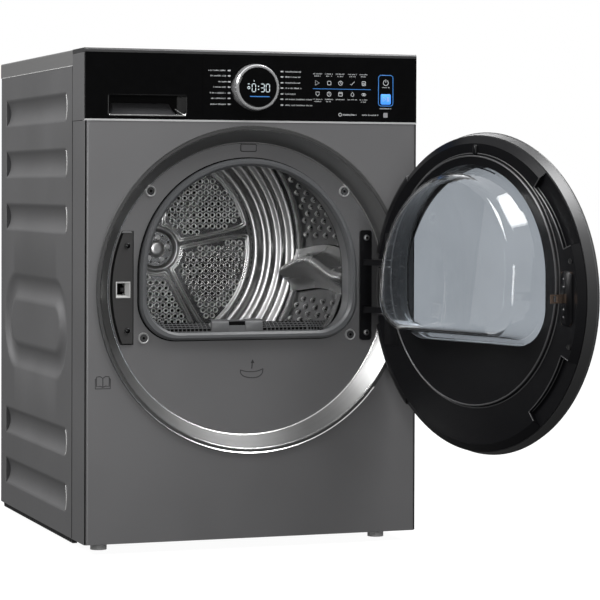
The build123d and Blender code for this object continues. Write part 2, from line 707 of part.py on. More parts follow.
write(door_outer_ring, "door_outer_ring")

# Outer glass
with BuildPart() as door_outer_glass:
    with BuildSketch(door_plane(DOOR_FRONT)):
        with Locations((0, DOOR_Z)):
            Circle(GLASS_RADIUS - 0.2)
    extrude(amount=-GLASS_THICK)
    chamfer(door_outer_glass.faces().sort_by(DOOR_OUTWARD)[-1].edges(), 1)
write(door_outer_glass, "door_outer_glass")

# Glass bowl that reaches into the drum's mouth, its end leaning back towards the top
BOWL_LEAN = math.radians(BOWL_TILT)
BOWL_FACING = door_plane(0).z_dir * math.cos(BOWL_LEAN) - Vector(0, 0, 1) * math.sin(BOWL_LEAN)
BOWL_FOOT = BOWL_END + (BOWL_SILL + BOWL_RISE) * math.tan(BOWL_LEAN)


def bowl_end(inset):
    """Leaning plane of the bowl's end, a wall's thickness in from the outside."""
    return Plane(door_plane(BOWL_FOOT - inset).origin, x_dir=door_plane(0).x_dir, z_dir=BOWL_FACING)


with BuildPart() as bowl_hollow:
    with BuildSketch(door_plane(DOOR_BACK)):
        bowl_shape(BOWL_WALL, BOWL_WALL)
    with BuildSketch(door_plane(BOWL_NECK)):
        bowl_shape(BOWL_NECK_DRAFT + BOWL_WALL, BOWL_NECK_RISE + BOWL_WALL)
    with BuildSketch(bowl_end(BOWL_WALL)):
        bowl_shape(BOWL_DRAFT + BOWL_WALL, BOWL_RISE + BOWL_WALL)
    loft(ruled=True)
    fillet(bowl_hollow.faces().sort_by(DOOR_OUTWARD)[0].edges(), BOWL_ROUND - BOWL_WALL)

with BuildPart() as door_bowl:
    with BuildSketch(door_plane(DOOR_BACK)):
        bowl_shape(0, 0)
    with BuildSketch(door_plane(BOWL_NECK)):
        bowl_shape(BOWL_NECK_DRAFT, BOWL_NECK_RISE)
    with BuildSketch(bowl_end(0)):
        bowl_shape(BOWL_DRAFT, BOWL_RISE)
    loft(ruled=True)
    fillet(door_bowl.faces().sort_by(DOOR_OUTWARD)[0].edges(), BOWL_ROUND)
    add(bowl_hollow.part, mode=Mode.SUBTRACT)
    with BuildSketch(door_plane(DOOR_BACK)):
        bowl_shape(-9, -9)
        bowl_shape(BOWL_WALL, BOWL_WALL, Mode.SUBTRACT)
    extrude(amount=3)
write(door_bowl, "door_bowl")

# Hinge leaf let into the inner frame, with the barrel that the pin goes through
BARREL_LOW = ARM_HEIGHTS[0] + ARM_THICK / 2 + 2.5
BARREL_HIGH = ARM_HEIGHTS[1] - ARM_THICK / 2 - 2.5
with BuildPart() as door_hinge_leaf:
    with BuildSketch(door_plane(DOOR_INNER)):
        span(LEAF_X[0], LEAF_X[1], LEAF_Z - LEAF_HEIGHT / 2, LEAF_Z + LEAF_HEIGHT / 2)
    extrude(amount=LEAF_THICK)
    with BuildSketch(door_plane(DOOR_INNER)):
        span(LEAF_X[1] - 4, HINGE_X, LEAF_Z - LEAF_HEIGHT / 2, LEAF_Z + LEAF_HEIGHT / 2)
    extrude(amount=DOOR_INNER - HINGE_DEPTH)
    with BuildSketch(Plane.XY.offset(BARREL_LOW)):
        with Locations((HINGE_X, HINGE_Y)):
            Circle(BARREL_RADIUS)
    extrude(amount=BARREL_HIGH - BARREL_LOW)
    with BuildSketch(Plane.XY.offset(BARREL_LOW)):
        with Locations((HINGE_X, HINGE_Y)):
            Circle(PIN_RADIUS)
    extrude(amount=BARREL_HIGH - BARREL_LOW, mode=Mode.SUBTRACT)
    screw_holes(door_plane(DOOR_INNER), DOOR_LEAF_SCREWS, SCREW_RADIUS, LEAF_THICK)
write(door_hinge_leaf, "door_hinge_leaf")

with BuildPart() as striker:
    with BuildSketch(door_plane(DOOR_INNER)):
        with Locations((LATCH_X, LATCH_Z)):
            RectangleRounded(*STRIKER_PLATE, 6)
    extrude(amount=-STRIKER_BASE)
    with BuildSketch(door_plane(DOOR_INNER)):
        with Locations((LATCH_X, LATCH_Z)):
            Rectangle(STRIKER_THICK, STRIKER_TALL)
    extrude(amount=DOOR_INNER - STRIKER_DEPTH)
    with BuildSketch(door_plane(WINDOW_DEPTH - WINDOW / 2)):
        with Locations((LATCH_X, LATCH_Z)):
            Rectangle(2 * STRIKER_THICK, WINDOW)
    extrude(amount=-WINDOW, mode=Mode.SUBTRACT)
write(striker, "striker")

with BuildPart() as door_screws:
    screws(door_plane(DOOR_INNER), DOOR_LATCH_SCREWS, 4.5, -2, SCREW_RADIUS, 8)
    screws(door_plane(DOOR_INNER), DOOR_LEAF_SCREWS, 4.5, -2, SCREW_RADIUS, 9)
write(door_screws, "door_screws")

# Drum shell, a thin cylinder with an inward front lip and a track for the belt
LIP_Y = FRONT_Y + DRUM_FRONT
with BuildPart() as drum_shell:
    with BuildSketch(DRUM_SECTION):
        bent_sheet(
            DRUM_SHEET,
            (DRUM_LIP_RADIUS, LIP_Y),
            (DRUM_RADIUS - 4, LIP_Y),
            (DRUM_RADIUS, LIP_Y + 4),
            (DRUM_RADIUS, BELT_Y - TRACK_HALF - 5),
            (TRACK_RADIUS, BELT_Y - TRACK_HALF),
            (TRACK_RADIUS, BELT_Y + TRACK_HALF),
            (DRUM_RADIUS, BELT_Y + TRACK_HALF + 5),
            (DRUM_RADIUS, DRUM_BACK_Y - 4),
        )
    revolve(axis=Axis(DRUM_SECTION.origin, ALONG_Y))
write(drum_shell, "drum_shell")

# Drum back, a pressed disc with five perforated fields between smooth spokes
FIELD_INNER = 55.0
FIELD_OUTER = 176.0
SPOKE_HALF = 15.0
SPOKE_ANGLE = 11.0
hole_places = []
hole_rows = int(FIELD_OUTER / HOLE_PITCH) + 2
for row in range(-hole_rows, hole_rows + 1):
    for column in range(-hole_rows, hole_rows + 1):
        hole_x = (column + (row % 2) / 2) * HOLE_PITCH
        hole_z = row * HOLE_PITCH * math.sqrt(3) / 2
        reach = math.hypot(hole_x, hole_z)
        turn = (math.degrees(math.atan2(hole_z, hole_x)) - SPOKE_ANGLE) % (360 / SPOKES)
        from_spoke = reach * math.sin(math.radians(min(turn, 360 / SPOKES - turn)))
        if FIELD_INNER < reach < FIELD_OUTER and from_spoke > SPOKE_HALF:
            hole_places.append((hole_x, DRUM_Z + hole_z))
HUB_BOLTS = 5
HUB_BOLT_CIRCLE = 22.0
OUTER_STEP = (242.0, 236.0)
MIDDLE_STEP = (214.0, 208.0)
FIELD_STEP = (194.0, 188.0)
HUB_STEP = (44.0, 40.0)
DEEP_PRESS = 8.0
SHALLOW_PRESS = 3.0
HUB_DISH = 5.0
with BuildPart() as drum_back:
    with BuildSketch(DRUM_SECTION):
        bent_sheet(
            DRUM_SHEET,
            (DRUM_RADIUS - DRUM_SHEET, DRUM_BACK_Y - DEEP_PRESS - 6),
            (DRUM_RADIUS - DRUM_SHEET, DRUM_BACK_Y - DEEP_PRESS),
            (OUTER_STEP[0], DRUM_BACK_Y - DEEP_PRESS),
            (OUTER_STEP[1], DRUM_BACK_Y - SHALLOW_PRESS),
            (MIDDLE_STEP[0], DRUM_BACK_Y - SHALLOW_PRESS),
            (MIDDLE_STEP[1], DRUM_BACK_Y - DEEP_PRESS),
            (FIELD_STEP[0], DRUM_BACK_Y - DEEP_PRESS),
            (FIELD_STEP[1], DRUM_BACK_Y),
            (HUB_STEP[0], DRUM_BACK_Y),
            (HUB_STEP[1], DRUM_BACK_Y + HUB_DISH),
            (SHAFT_RADIUS, DRUM_BACK_Y + HUB_DISH),
        )
    revolve(axis=Axis(DRUM_SECTION.origin, ALONG_Y))
    with BuildSketch(Plane.XZ.offset(-DRUM_BACK_Y + DEEP_PRESS)):
        with Locations(*hole_places):
            Circle(HOLE_RADIUS)
        with Locations((0, DRUM_Z)):
            with PolarLocations(HUB_BOLT_CIRCLE, HUB_BOLTS, SPOKE_ANGLE):
                Circle(SCREW_RADIUS)
    extrude(amount=-2 * DEEP_PRESS, mode=Mode.SUBTRACT)
write(drum_back, "drum_back")

# Three lifters inside the drum
LIFTER_BASE = TRACK_RADIUS - DRUM_SHEET
LIFTER_SPREAD = 8.0
LIFTER_START = -7.5
LIFTER_ENDS = (-150.0, 225.0)
with BuildPart() as drum_lifters:
    with BuildSketch(Plane.XZ.offset(-LIFTER_ENDS[0])):
        for index in range(LIFTERS):
            heading = LIFTER_START + index * 360 / LIFTERS
            foot_a = Vector(LIFTER_BASE, 0).rotate(Axis.Z, heading - LIFTER_SPREAD) + Vector(0, DRUM_Z)
            foot_m = Vector(LIFTER_BASE, 0).rotate(Axis.Z, heading) + Vector(0, DRUM_Z)
            foot_b = Vector(LIFTER_BASE, 0).rotate(Axis.Z, heading + LIFTER_SPREAD) + Vector(0, DRUM_Z)
            crest = LIFTER_BASE - LIFTER_HEIGHT
            crest_a = Vector(crest + 6, -9).rotate(Axis.Z, heading) + Vector(0, DRUM_Z)
            crest_m = Vector(crest, 0).rotate(Axis.Z, heading) + Vector(0, DRUM_Z)
            crest_b = Vector(crest + 6, 9).rotate(Axis.Z, heading) + Vector(0, DRUM_Z)
            with BuildLine():
                ThreePointArc(foot_a, foot_m, foot_b)
                Line(foot_b, crest_b)
                ThreePointArc(crest_b, crest_m, crest_a)
                Line(crest_a, foot_a)
            make_face()
    extrude(amount=LIFTER_ENDS[0] - LIFTER_ENDS[1])
write(drum_lifters, "drum_lifters")

# Drum shaft with its hub inside the drum
HUB_FACE = DRUM_BACK_Y + HUB_DISH - DRUM_SHEET
HUB_THICK = 3.5
HUB_CAP_RADIUS = 14.0
HUB_CAP_FRONT = HUB_FACE - 9.0
SHAFT_END = 312.0
with BuildPart() as drum_shaft:
    with BuildSketch(DRUM_SECTION):
        profile(
            (0, HUB_CAP_FRONT),
            (HUB_CAP_RADIUS, HUB_CAP_FRONT),
            (HUB_CAP_RADIUS, HUB_FACE - HUB_THICK),
            (HUB_RADIUS, HUB_FACE - HUB_THICK),
            (HUB_RADIUS, HUB_FACE),
            (SHAFT_RADIUS, HUB_FACE),
            (SHAFT_RADIUS, SHAFT_END),
            (0, SHAFT_END),
        )
    revolve(axis=Axis(DRUM_SECTION.origin, ALONG_Y))
    with BuildSketch(Plane.XZ.offset(-HUB_FACE + HUB_THICK)):
        with Locations((0, DRUM_Z)):
            with PolarLocations(HUB_BOLT_CIRCLE, HUB_BOLTS, SPOKE_ANGLE):
                Circle(SCREW_RADIUS)
    extrude(amount=-HUB_THICK, mode=Mode.SUBTRACT)
write(drum_shaft, "drum_shaft")

with BuildPart() as hub_bolts:
    with BuildSketch(Plane.XZ.offset(-HUB_FACE + HUB_THICK)):
        with Locations((0, DRUM_Z)):
            with PolarLocations(HUB_BOLT_CIRCLE, HUB_BOLTS, SPOKE_ANGLE):
                RegularPolygon(4.5, 6)
    extrude(amount=3)
    with BuildSketch(Plane.XZ.offset(-HUB_FACE + HUB_THICK)):
        with Locations((0, DRUM_Z)):
            with PolarLocations(HUB_BOLT_CIRCLE, HUB_BOLTS, SPOKE_ANGLE):
                Circle(SCREW_RADIUS)
    extrude(amount=-10)
write(hub_bolts, "hub_bolts")

# Rear panel with spoked air windows, and the bearing at its middle
REAR_SHEET = 1.2
BEARING_RADIUS = 26.0
WINDOW_INNER = 62.0
WINDOW_OUTER = 165.0
WINDOW_SPOKE = 26.0
OUTLET = (MOTOR_X - 33, MOTOR_X + 33, 168.0, 208.0)
with BuildPart() as rear_panel:
    with BuildSketch(Plane.XZ.offset(-REAR_Y + REAR_SHEET)):
        span(-SIDE_X + SHEET, SIDE_X - SHEET, PANEL_BOTTOM, LID_BOTTOM - 0.5)
        with Locations((0, DRUM_Z)):
            Circle(WINDOW_OUTER, mode=Mode.SUBTRACT)
            for spoke in range(4):
                with Locations(Location((0, 0), spoke * 45)):
                    Rectangle(2 * WINDOW_OUTER + 2, WINDOW_SPOKE)
            Circle(WINDOW_INNER)
            Circle(BEARING_RADIUS, mode=Mode.SUBTRACT)
        span(*OUTLET, Mode.SUBTRACT)
        with Locations(DRAIN):
            Circle(2.5 * SPIGOT_RADIUS, mode=Mode.SUBTRACT)
        with Locations(CORD_INLET):
            Circle(GLAND_SHANK, mode=Mode.SUBTRACT)
        with Locations(*REAR_SCREWS):
            Circle(SCREW_RADIUS, mode=Mode.SUBTRACT)
    extrude(amount=-REAR_SHEET)
write(rear_panel, "rear_panel")

with BuildPart() as rear_bearing:
    with BuildSketch(Plane.XZ.offset(-REAR_Y + 12)):
        with Locations((0, DRUM_Z)):
            Circle(BEARING_RADIUS)
            Circle(SHAFT_RADIUS + RUNNING_FIT, mode=Mode.SUBTRACT)
    extrude(amount=-16)
write(rear_bearing, "rear_bearing")

with BuildPart() as rear_screws:
    screws(Plane.XZ.offset(-REAR_Y), REAR_SCREWS, 5, -2.5, SCREW_RADIUS, 3)
write(rear_screws, "rear_screws")

# Rear duct cover, from the fan's outlet up to the drum's back
DUCT_DEPTH = 32.0
DUCT_WALL = 2.0
DUCT_RADIUS = 205.0
DUCT_FOOT_RADIUS = 58.0
DUCT_FOOT_Z = 190.0
with BuildPart() as rear_duct_cover:
    for shrink, mode in ((0, Mode.ADD), (DUCT_WALL, Mode.SUBTRACT)):
        with BuildSketch(Plane.XZ.offset(-REAR_Y)):
            with Locations((0, DRUM_Z)):
                Circle(DUCT_RADIUS - shrink)
            with Locations((MOTOR_X, DUCT_FOOT_Z)):
                Circle(DUCT_FOOT_RADIUS - shrink)
            make_hull()
        extrude(amount=shrink - DUCT_DEPTH, mode=mode)
    chamfer(rear_duct_cover.faces().sort_by(Axis.Y)[-1].edges(), DUCT_WALL / 2)
write(rear_duct_cover, "rear_duct_cover")

with BuildPart() as cord_gland:
    with BuildSketch(Plane.XZ.offset(-REAR_Y)):
        with Locations(CORD_INLET):
            Circle(GLAND_SHANK + 5)
    extrude(amount=-GLAND_HEAD)
    with BuildSketch(Plane.XZ.offset(-REAR_Y + GLAND_INSIDE)):
        with Locations(CORD_INLET):
            Circle(GLAND_SHANK)
    extrude(amount=-GLAND_INSIDE)
    with BuildSketch(Plane.XZ.offset(-REAR_Y + GLAND_INSIDE)):
        with Locations(CORD_INLET):
            Circle(GLAND_BORE)
    extrude(amount=-GLAND_INSIDE - GLAND_HEAD, mode=Mode.SUBTRACT)
write(cord_gland, "cord_gland")

# Front rollers that carry the drum, on axles in the bulkhead
roller_x = (DRUM_RADIUS + ROLLER_GAP + ROLLER_RADIUS) * math.sin(math.radians(ROLLER_ANGLE))
roller_z = DRUM_Z - (DRUM_RADIUS + ROLLER_GAP + ROLLER_RADIUS) * math.cos(math.radians(ROLLER_ANGLE))
for side, place_x in (("left", -roller_x), ("right", roller_x)):
    with BuildPart() as support_roller:
        with BuildSketch(front_plane(ROLLER_DEPTH)):
            with Locations((place_x, roller_z)):
                Circle(ROLLER_RADIUS)
                Circle(AXLE_RADIUS + RUNNING_FIT, mode=Mode.SUBTRACT)
        extrude(amount=-ROLLER_WIDTH)
    write(support_roller, f"support_roller_{side}")

with BuildPart() as roller_axles:
    with BuildSketch(front_plane(BULKHEAD_FRONT + BULKHEAD_THICK)):
        with Locations((-roller_x, roller_z), (roller_x, roller_z)):
            Circle(AXLE_RADIUS)
    extrude(amount=BULKHEAD_FRONT + BULKHEAD_THICK - ROLLER_DEPTH - ROLLER_WIDTH - 6)
    with BuildSketch(front_plane(BULKHEAD_FRONT + BULKHEAD_THICK)):
        with Locations((-roller_x, roller_z), (roller_x, roller_z)):
            Circle(AXLE_RADIUS + 4)
    extrude(amount=BULKHEAD_FRONT + BULKHEAD_THICK - ROLLER_DEPTH + 0.5)
write(roller_axles, "roller_axles")

# Motor, its rotor with the belt pulley, and the fan on the same shaft
MOTOR_REAR = MOTOR_FRONT + MOTOR_LENGTH
MOTOR_CAP = 8.0
STATOR_BORE = MOTOR_RADIUS - 18.0
ROTOR_ENDS = (MOTOR_FRONT + 20.0, MOTOR_REAR - 20.0)
PULLEY_RIM = PULLEY_RADIUS + 2.0
SHAFT_REAR = FAN_FRONT + FAN_LENGTH - 10.0
with BuildPart() as motor_housing:
    with BuildSketch(MOTOR_SECTION):
        profile(
            (ROTOR_RADIUS + RUNNING_FIT, MOTOR_FRONT),
            (MOTOR_RADIUS, MOTOR_FRONT),
            (MOTOR_RADIUS, MOTOR_REAR),
            (ROTOR_RADIUS + RUNNING_FIT, MOTOR_REAR),
            (ROTOR_RADIUS + RUNNING_FIT, MOTOR_REAR - MOTOR_CAP),
            (STATOR_BORE, MOTOR_REAR - MOTOR_CAP),
            (STATOR_BORE, MOTOR_FRONT + MOTOR_CAP),
            (ROTOR_RADIUS + RUNNING_FIT, MOTOR_FRONT + MOTOR_CAP),
        )
    revolve(axis=Axis(MOTOR_SECTION.origin, ALONG_Y))
    with BuildSketch(Plane.XY.offset(BASE_FLOOR)):
        span(MOTOR_X - 45, MOTOR_X - 35, MOTOR_FRONT + 15, MOTOR_REAR - 15)
        span(MOTOR_X + 35, MOTOR_X + 45, MOTOR_FRONT + 15, MOTOR_REAR - 15)
    extrude(amount=MOTOR_Z - MOTOR_RADIUS * 0.7 - BASE_FLOOR)
write(motor_housing, "motor_housing")

with BuildPart() as motor_shaft:
    with BuildSketch(MOTOR_SECTION):
        profile(
            (0, BELT_Y - 12),
            (PULLEY_RIM, BELT_Y - 12),
            (PULLEY_RIM, BELT_Y - TRACK_HALF),
            (PULLEY_RADIUS, BELT_Y - TRACK_HALF),
            (PULLEY_RADIUS, BELT_Y + TRACK_HALF),
            (PULLEY_RIM, BELT_Y + TRACK_HALF),
            (PULLEY_RIM, BELT_Y + 12),
            (ROTOR_RADIUS, BELT_Y + 12),
            (ROTOR_RADIUS, ROTOR_ENDS[0]),
            (STATOR_BORE - 2, ROTOR_ENDS[0]),
            (STATOR_BORE - 2, ROTOR_ENDS[1]),
            (ROTOR_RADIUS, ROTOR_ENDS[1]),
            (ROTOR_RADIUS, SHAFT_REAR),
            (0, SHAFT_REAR),
        )
    revolve(axis=Axis(MOTOR_SECTION.origin, ALONG_Y))
write(motor_shaft, "motor_shaft")

FAN_BLADES = 24
with BuildPart() as fan_wheel:
    with BuildSketch(Plane.XZ.offset(-FAN_FRONT - FAN_LENGTH + 16)):
        with Locations((MOTOR_X, MOTOR_Z)):
            Circle(FAN_RADIUS)
            Circle(ROTOR_RADIUS, mode=Mode.SUBTRACT)
    extrude(amount=-3)
    with BuildSketch(Plane.XZ.offset(-FAN_FRONT - FAN_LENGTH + 16)):
        with Locations((MOTOR_X, MOTOR_Z)):
            with PolarLocations(FAN_RADIUS - 9, FAN_BLADES):
                Rectangle(16, 2)
            Circle(16)
            Circle(ROTOR_RADIUS, mode=Mode.SUBTRACT)
    extrude(amount=45)
write(fan_wheel, "fan_wheel")

FAN_WALL = 2.5
SCROLL_RADIUS = FAN_RADIUS + 16
with BuildPart() as fan_housing:
    for wall, first, length, mode in (
        (0, FAN_FRONT, FAN_LENGTH, Mode.ADD),
        (FAN_WALL, FAN_FRONT + FAN_WALL, FAN_LENGTH - 2 * FAN_WALL, Mode.SUBTRACT),
    ):
        with BuildSketch(Plane.XZ.offset(-first)):
            with Locations((MOTOR_X, MOTOR_Z)):
                Circle(SCROLL_RADIUS - wall)
            span(OUTLET[0] - 2 + wall, MOTOR_X + SCROLL_RADIUS - wall, MOTOR_Z, OUTLET[3] + 4 - wall)
        extrude(amount=-length, mode=mode)
    with BuildSketch(Plane.XZ.offset(-FAN_FRONT)):
        with Locations((MOTOR_X, MOTOR_Z)):
            Circle(48)
    extrude(amount=-FAN_WALL, mode=Mode.SUBTRACT)
    with BuildSketch(Plane.XZ.offset(-FAN_FRONT - FAN_LENGTH)):
        span(OUTLET[0], OUTLET[1], OUTLET[2], OUTLET[3])
    extrude(amount=FAN_FRONT + FAN_LENGTH - REAR_Y + REAR_SHEET)
    with BuildSketch(Plane.XZ.offset(-FAN_FRONT - FAN_LENGTH + FAN_WALL)):
        span(OUTLET[0] + 2, OUTLET[1] - 2, OUTLET[2] + 2, OUTLET[3] - 2)
    extrude(amount=-50, mode=Mode.SUBTRACT)
write(fan_housing, "fan_housing")

# Drive belt round the drum and the motor pulley
with BuildPart() as drive_belt:
    for grow, mode in ((BELT_GAP + BELT_THICK, Mode.ADD), (BELT_GAP, Mode.SUBTRACT)):
        with BuildSketch(Plane.XZ.offset(-BELT_Y + BELT_WIDTH / 2)):
            with Locations((0, DRUM_Z)):
                Circle(TRACK_RADIUS + grow)
            with Locations((MOTOR_X, MOTOR_Z)):
                Circle(PULLEY_RADIUS + grow)
            make_hull()
        extrude(amount=-BELT_WIDTH, mode=mode)
write(drive_belt, "drive_belt")

# Heat pump: two finned exchangers under a cover, the compressor, its pipes and the condensate pump
EXCHANGER_MID = sum(EXCHANGER_X) / 2
EXCHANGER_WIDTH = EXCHANGER_X[1] - EXCHANGER_X[0]
EVAPORATOR_Y = -85.0
CONDENSER_Y = 85.0
for name, place_y in (("evaporator", EVAPORATOR_Y), ("condenser", CONDENSER_Y)):
    with BuildPart() as exchanger:
        with BuildSketch(Plane.XY.offset(BASE_FLOOR)):
            with Locations((EXCHANGER_MID, place_y)):
                Rectangle(EXCHANGER_WIDTH, EXCHANGER_LENGTH)
        extrude(amount=EXCHANGER_HEIGHT)
        with BuildSketch(Plane.XY.offset(BASE_FLOOR + 10)):
            with Locations((EXCHANGER_MID, place_y)):
                with GridLocations(EXCHANGER_WIDTH / (EXCHANGER_SLOTS + 1), 0, EXCHANGER_SLOTS, 1):
                    Rectangle(8, EXCHANGER_LENGTH)
        extrude(amount=EXCHANGER_HEIGHT - 20, mode=Mode.SUBTRACT)
    write(exchanger, name)

with BuildPart() as heat_exchanger_cover:
    with BuildSketch(Plane.XY.offset(BASE_FLOOR + EXCHANGER_HEIGHT)):
        span(EXCHANGER_X[0] - 8, EXCHANGER_X[1] + 12, EVAPORATOR_Y - 80, CONDENSER_Y + 80)
    extrude(amount=3)
    with BuildSketch(Plane.XY.offset(PANEL_BOTTOM + BASE_HEIGHT)):
        span(EXCHANGER_X[0] - 8, EXCHANGER_X[0] - 5, EVAPORATOR_Y - 80, CONDENSER_Y + 80)
    extrude(amount=BASE_FLOOR + EXCHANGER_HEIGHT - PANEL_BOTTOM - BASE_HEIGHT)
write(heat_exchanger_cover, "heat_exchanger_cover")

with BuildPart() as compressor:
    with BuildSketch(Plane((COMPRESSOR_X, COMPRESSOR_Y, 0), x_dir=(1, 0, 0), z_dir=(0, -1, 0))):
        with BuildLine():
            Line((0, BASE_FLOOR + 12), (COMPRESSOR_RADIUS - 12, BASE_FLOOR + 12))
            RadiusArc(
                (COMPRESSOR_RADIUS - 12, BASE_FLOOR + 12), (COMPRESSOR_RADIUS, BASE_FLOOR + 24), -12
            )
            Line((COMPRESSOR_RADIUS, BASE_FLOOR + 24), (COMPRESSOR_RADIUS, COMPRESSOR_TOP - DOME_RADIUS))
            RadiusArc(
                (COMPRESSOR_RADIUS, COMPRESSOR_TOP - DOME_RADIUS),
                (COMPRESSOR_RADIUS - DOME_RADIUS, COMPRESSOR_TOP),
                -DOME_RADIUS,
            )
            Line((COMPRESSOR_RADIUS - DOME_RADIUS, COMPRESSOR_TOP), (0, COMPRESSOR_TOP))
            Line((0, COMPRESSOR_TOP), (0, BASE_FLOOR + 12))
        make_face()
    revolve(axis=Axis((COMPRESSOR_X, COMPRESSOR_Y, 0), (0, 0, 1)))
    with BuildSketch(Plane.XY.offset(BASE_FLOOR)):
        with Locations((COMPRESSOR_X, COMPRESSOR_Y)):
            with PolarLocations(COMPRESSOR_RADIUS - 20, 3):
                Circle(12)
    extrude(amount=14)
write(compressor, "compressor")

PIPE_RADIUS = 5.0
PIPE_BEND = 18.0
PIPE_START_X = COMPRESSOR_X - COMPRESSOR_RADIUS
with BuildPart() as refrigerant_pipes:
    for turn_x, start_y, height, end_y in ((-10, -110, 150, CONDENSER_Y), (-25, -130, 120, EVAPORATOR_Y)):
        with BuildLine():
            route = FilletPolyline(
                (PIPE_START_X, start_y, height),
                (turn_x, start_y, height),
                (turn_x, end_y, height),
                (EXCHANGER_X[1], end_y, height),
                radius=PIPE_BEND,
            )
        with BuildSketch(Plane(route @ 0, z_dir=route % 0)):
            Circle(PIPE_RADIUS)
        sweep(path=route)
write(refrigerant_pipes, "refrigerant_pipes")

with BuildPart() as condensate_pump:
    with BuildSketch(Plane.XY.offset(BASE_FLOOR)):
        with Locations(PUMP):
            Circle(PUMP_RADIUS)
    extrude(amount=PUMP_HEIGHT)
    with BuildSketch(Plane.XY.offset(BASE_FLOOR + PUMP_HEIGHT)):
        with Locations(PUMP):
            Circle(PUMP_RADIUS / 2)
    extrude(amount=20)
write(condensate_pump, "condensate_pump")

# Water container: a flat tank behind its front, on a tray over the drum
TANK_MOUTH = 20.0
TANK_MOUTH_Y = 100.0
POCKET_DEPTH = 26.0
POCKET_WALL = 2.0
with BuildPart() as water_tank:
    for wall, start, length, mode in (
        (0, TANK_FRONT, TANK_LENGTH, Mode.ADD),
        (TANK_WALL, TANK_FRONT + TANK_WALL, TANK_LENGTH - 2 * TANK_WALL, Mode.SUBTRACT),
    ):
        with BuildSketch(front_plane(start)):
            with BuildLine():
                Polyline(
                    (TANK_LEFT + wall, TANK_BOTTOM + wall),
                    (TANK_SLOPE_X - wall / 2, TANK_BOTTOM + wall),
                    (TANK_RIGHT - wall, TANK_SHOULDER + wall / 2),
                    (TANK_RIGHT - wall, TANK_TOP - wall),
                    (TANK_LEFT + wall, TANK_TOP - wall),
                    close=True,
                )
            make_face()
        extrude(amount=-length, mode=mode)
    with BuildSketch(Plane.XY.offset(TANK_TOP - TANK_WALL)):
        with Locations(((TANK_LEFT + TANK_RIGHT) / 2, TANK_MOUTH_Y)):
            Circle(TANK_MOUTH)
    extrude(amount=TANK_WALL, mode=Mode.SUBTRACT)
write(water_tank, "water_tank")

with BuildPart() as tank_front:
    with BuildSketch(front_plane(0)):
        span(-SIDE_X + 0.3, FASCIA_SPLIT_X - 0.4, FASCIA_BOTTOM + 0.6, FASCIA_TOP - 0.6)
    extrude(amount=-FASCIA_PLATE + 0.3)
    with BuildSketch(front_plane(FASCIA_PLATE - 0.3)):
        span(POCKET[0] - POCKET_WALL, POCKET[1] + POCKET_WALL, POCKET[2] - 1.5, POCKET[3] + POCKET_WALL)
    extrude(amount=FASCIA_PLATE - 0.3 - TANK_FRONT)
    with BuildSketch(front_plane(0)):
        span(*POCKET)
    extrude(amount=-POCKET_DEPTH, mode=Mode.SUBTRACT)
write(tank_front, "tank_front")

TRAY_TOP = TANK_BOTTOM - TRAY_GAP
with BuildPart() as tank_tray:
    with BuildSketch(front_plane(FASCIA_DEPTH)):
        with BuildLine():
            Polyline(
                (-SIDE_X + SHEET + GROOVE_DEPTH + 1, TRAY_TOP),
                (TANK_SLOPE_X, TRAY_TOP),
                (TANK_RIGHT + TRAY_GAP, TANK_SHOULDER - TRAY_GAP),
                (TANK_RIGHT + TRAY_GAP, TANK_TOP - 10),
                (TANK_RIGHT + TRAY_GAP + TRAY_WALL, TANK_TOP - 10),
                (TANK_RIGHT + TRAY_GAP + TRAY_WALL, TANK_SHOULDER - TRAY_GAP - TRAY_WALL),
                (TANK_SLOPE_X, TRAY_TOP - TRAY_WALL),
                (-SIDE_X + SHEET + GROOVE_DEPTH + 1, TRAY_TOP - TRAY_WALL),
                close=True,
            )
        make_face()
    extrude(amount=-TANK_LENGTH + FASCIA_DEPTH)
write(tank_tray, "tank_tray")

# Control fascia: a gloss plate on a carrier that wraps the upper front
with BuildPart() as control_fascia:
    with BuildSketch(front_plane(FASCIA_PLATE)):
        span(-SIDE_X, SIDE_X, FASCIA_BOTTOM, FASCIA_TOP)
        span(
            -SIDE_X + FASCIA_WALL,
            SIDE_X - FASCIA_WALL,
            FASCIA_BOTTOM + FASCIA_WALL,
            FASCIA_TOP - FASCIA_WALL,
            Mode.SUBTRACT,
        )
        span(FASCIA_SPLIT_X, FASCIA_SPLIT_X + FASCIA_WALL, FASCIA_BOTTOM, FASCIA_TOP)
    extrude(amount=FASCIA_PLATE - FASCIA_DEPTH)
    with BuildSketch(front_plane(0)):
        span(FASCIA_SPLIT_X, SIDE_X, FASCIA_BOTTOM, FASCIA_TOP)
        with Locations((DIAL_X, DIAL_Z)):
            Circle(SLEEVE_RADIUS + RUNNING_FIT, mode=Mode.SUBTRACT)
    extrude(amount=-FASCIA_PLATE)
write(control_fascia, "control_fascia")

with BuildPart() as fascia_trims:
    with BuildSketch(front_plane(0)):
        span(-SIDE_X, SIDE_X, FASCIA_TOP, CABINET_HEIGHT)
    extrude(amount=-FASCIA_DEPTH)
    fillet(fascia_trims.edges().filter_by(Axis.X).sort_by(Axis.Y)[0:2].sort_by(Axis.Z)[-1], 4)
    with BuildSketch(front_plane(-0.8)):
        span(-SIDE_X, SIDE_X, FASCIA_BOTTOM - LOWER_TRIM, FASCIA_BOTTOM)
    extrude(amount=-15)
write(fascia_trims, "fascia_trims")

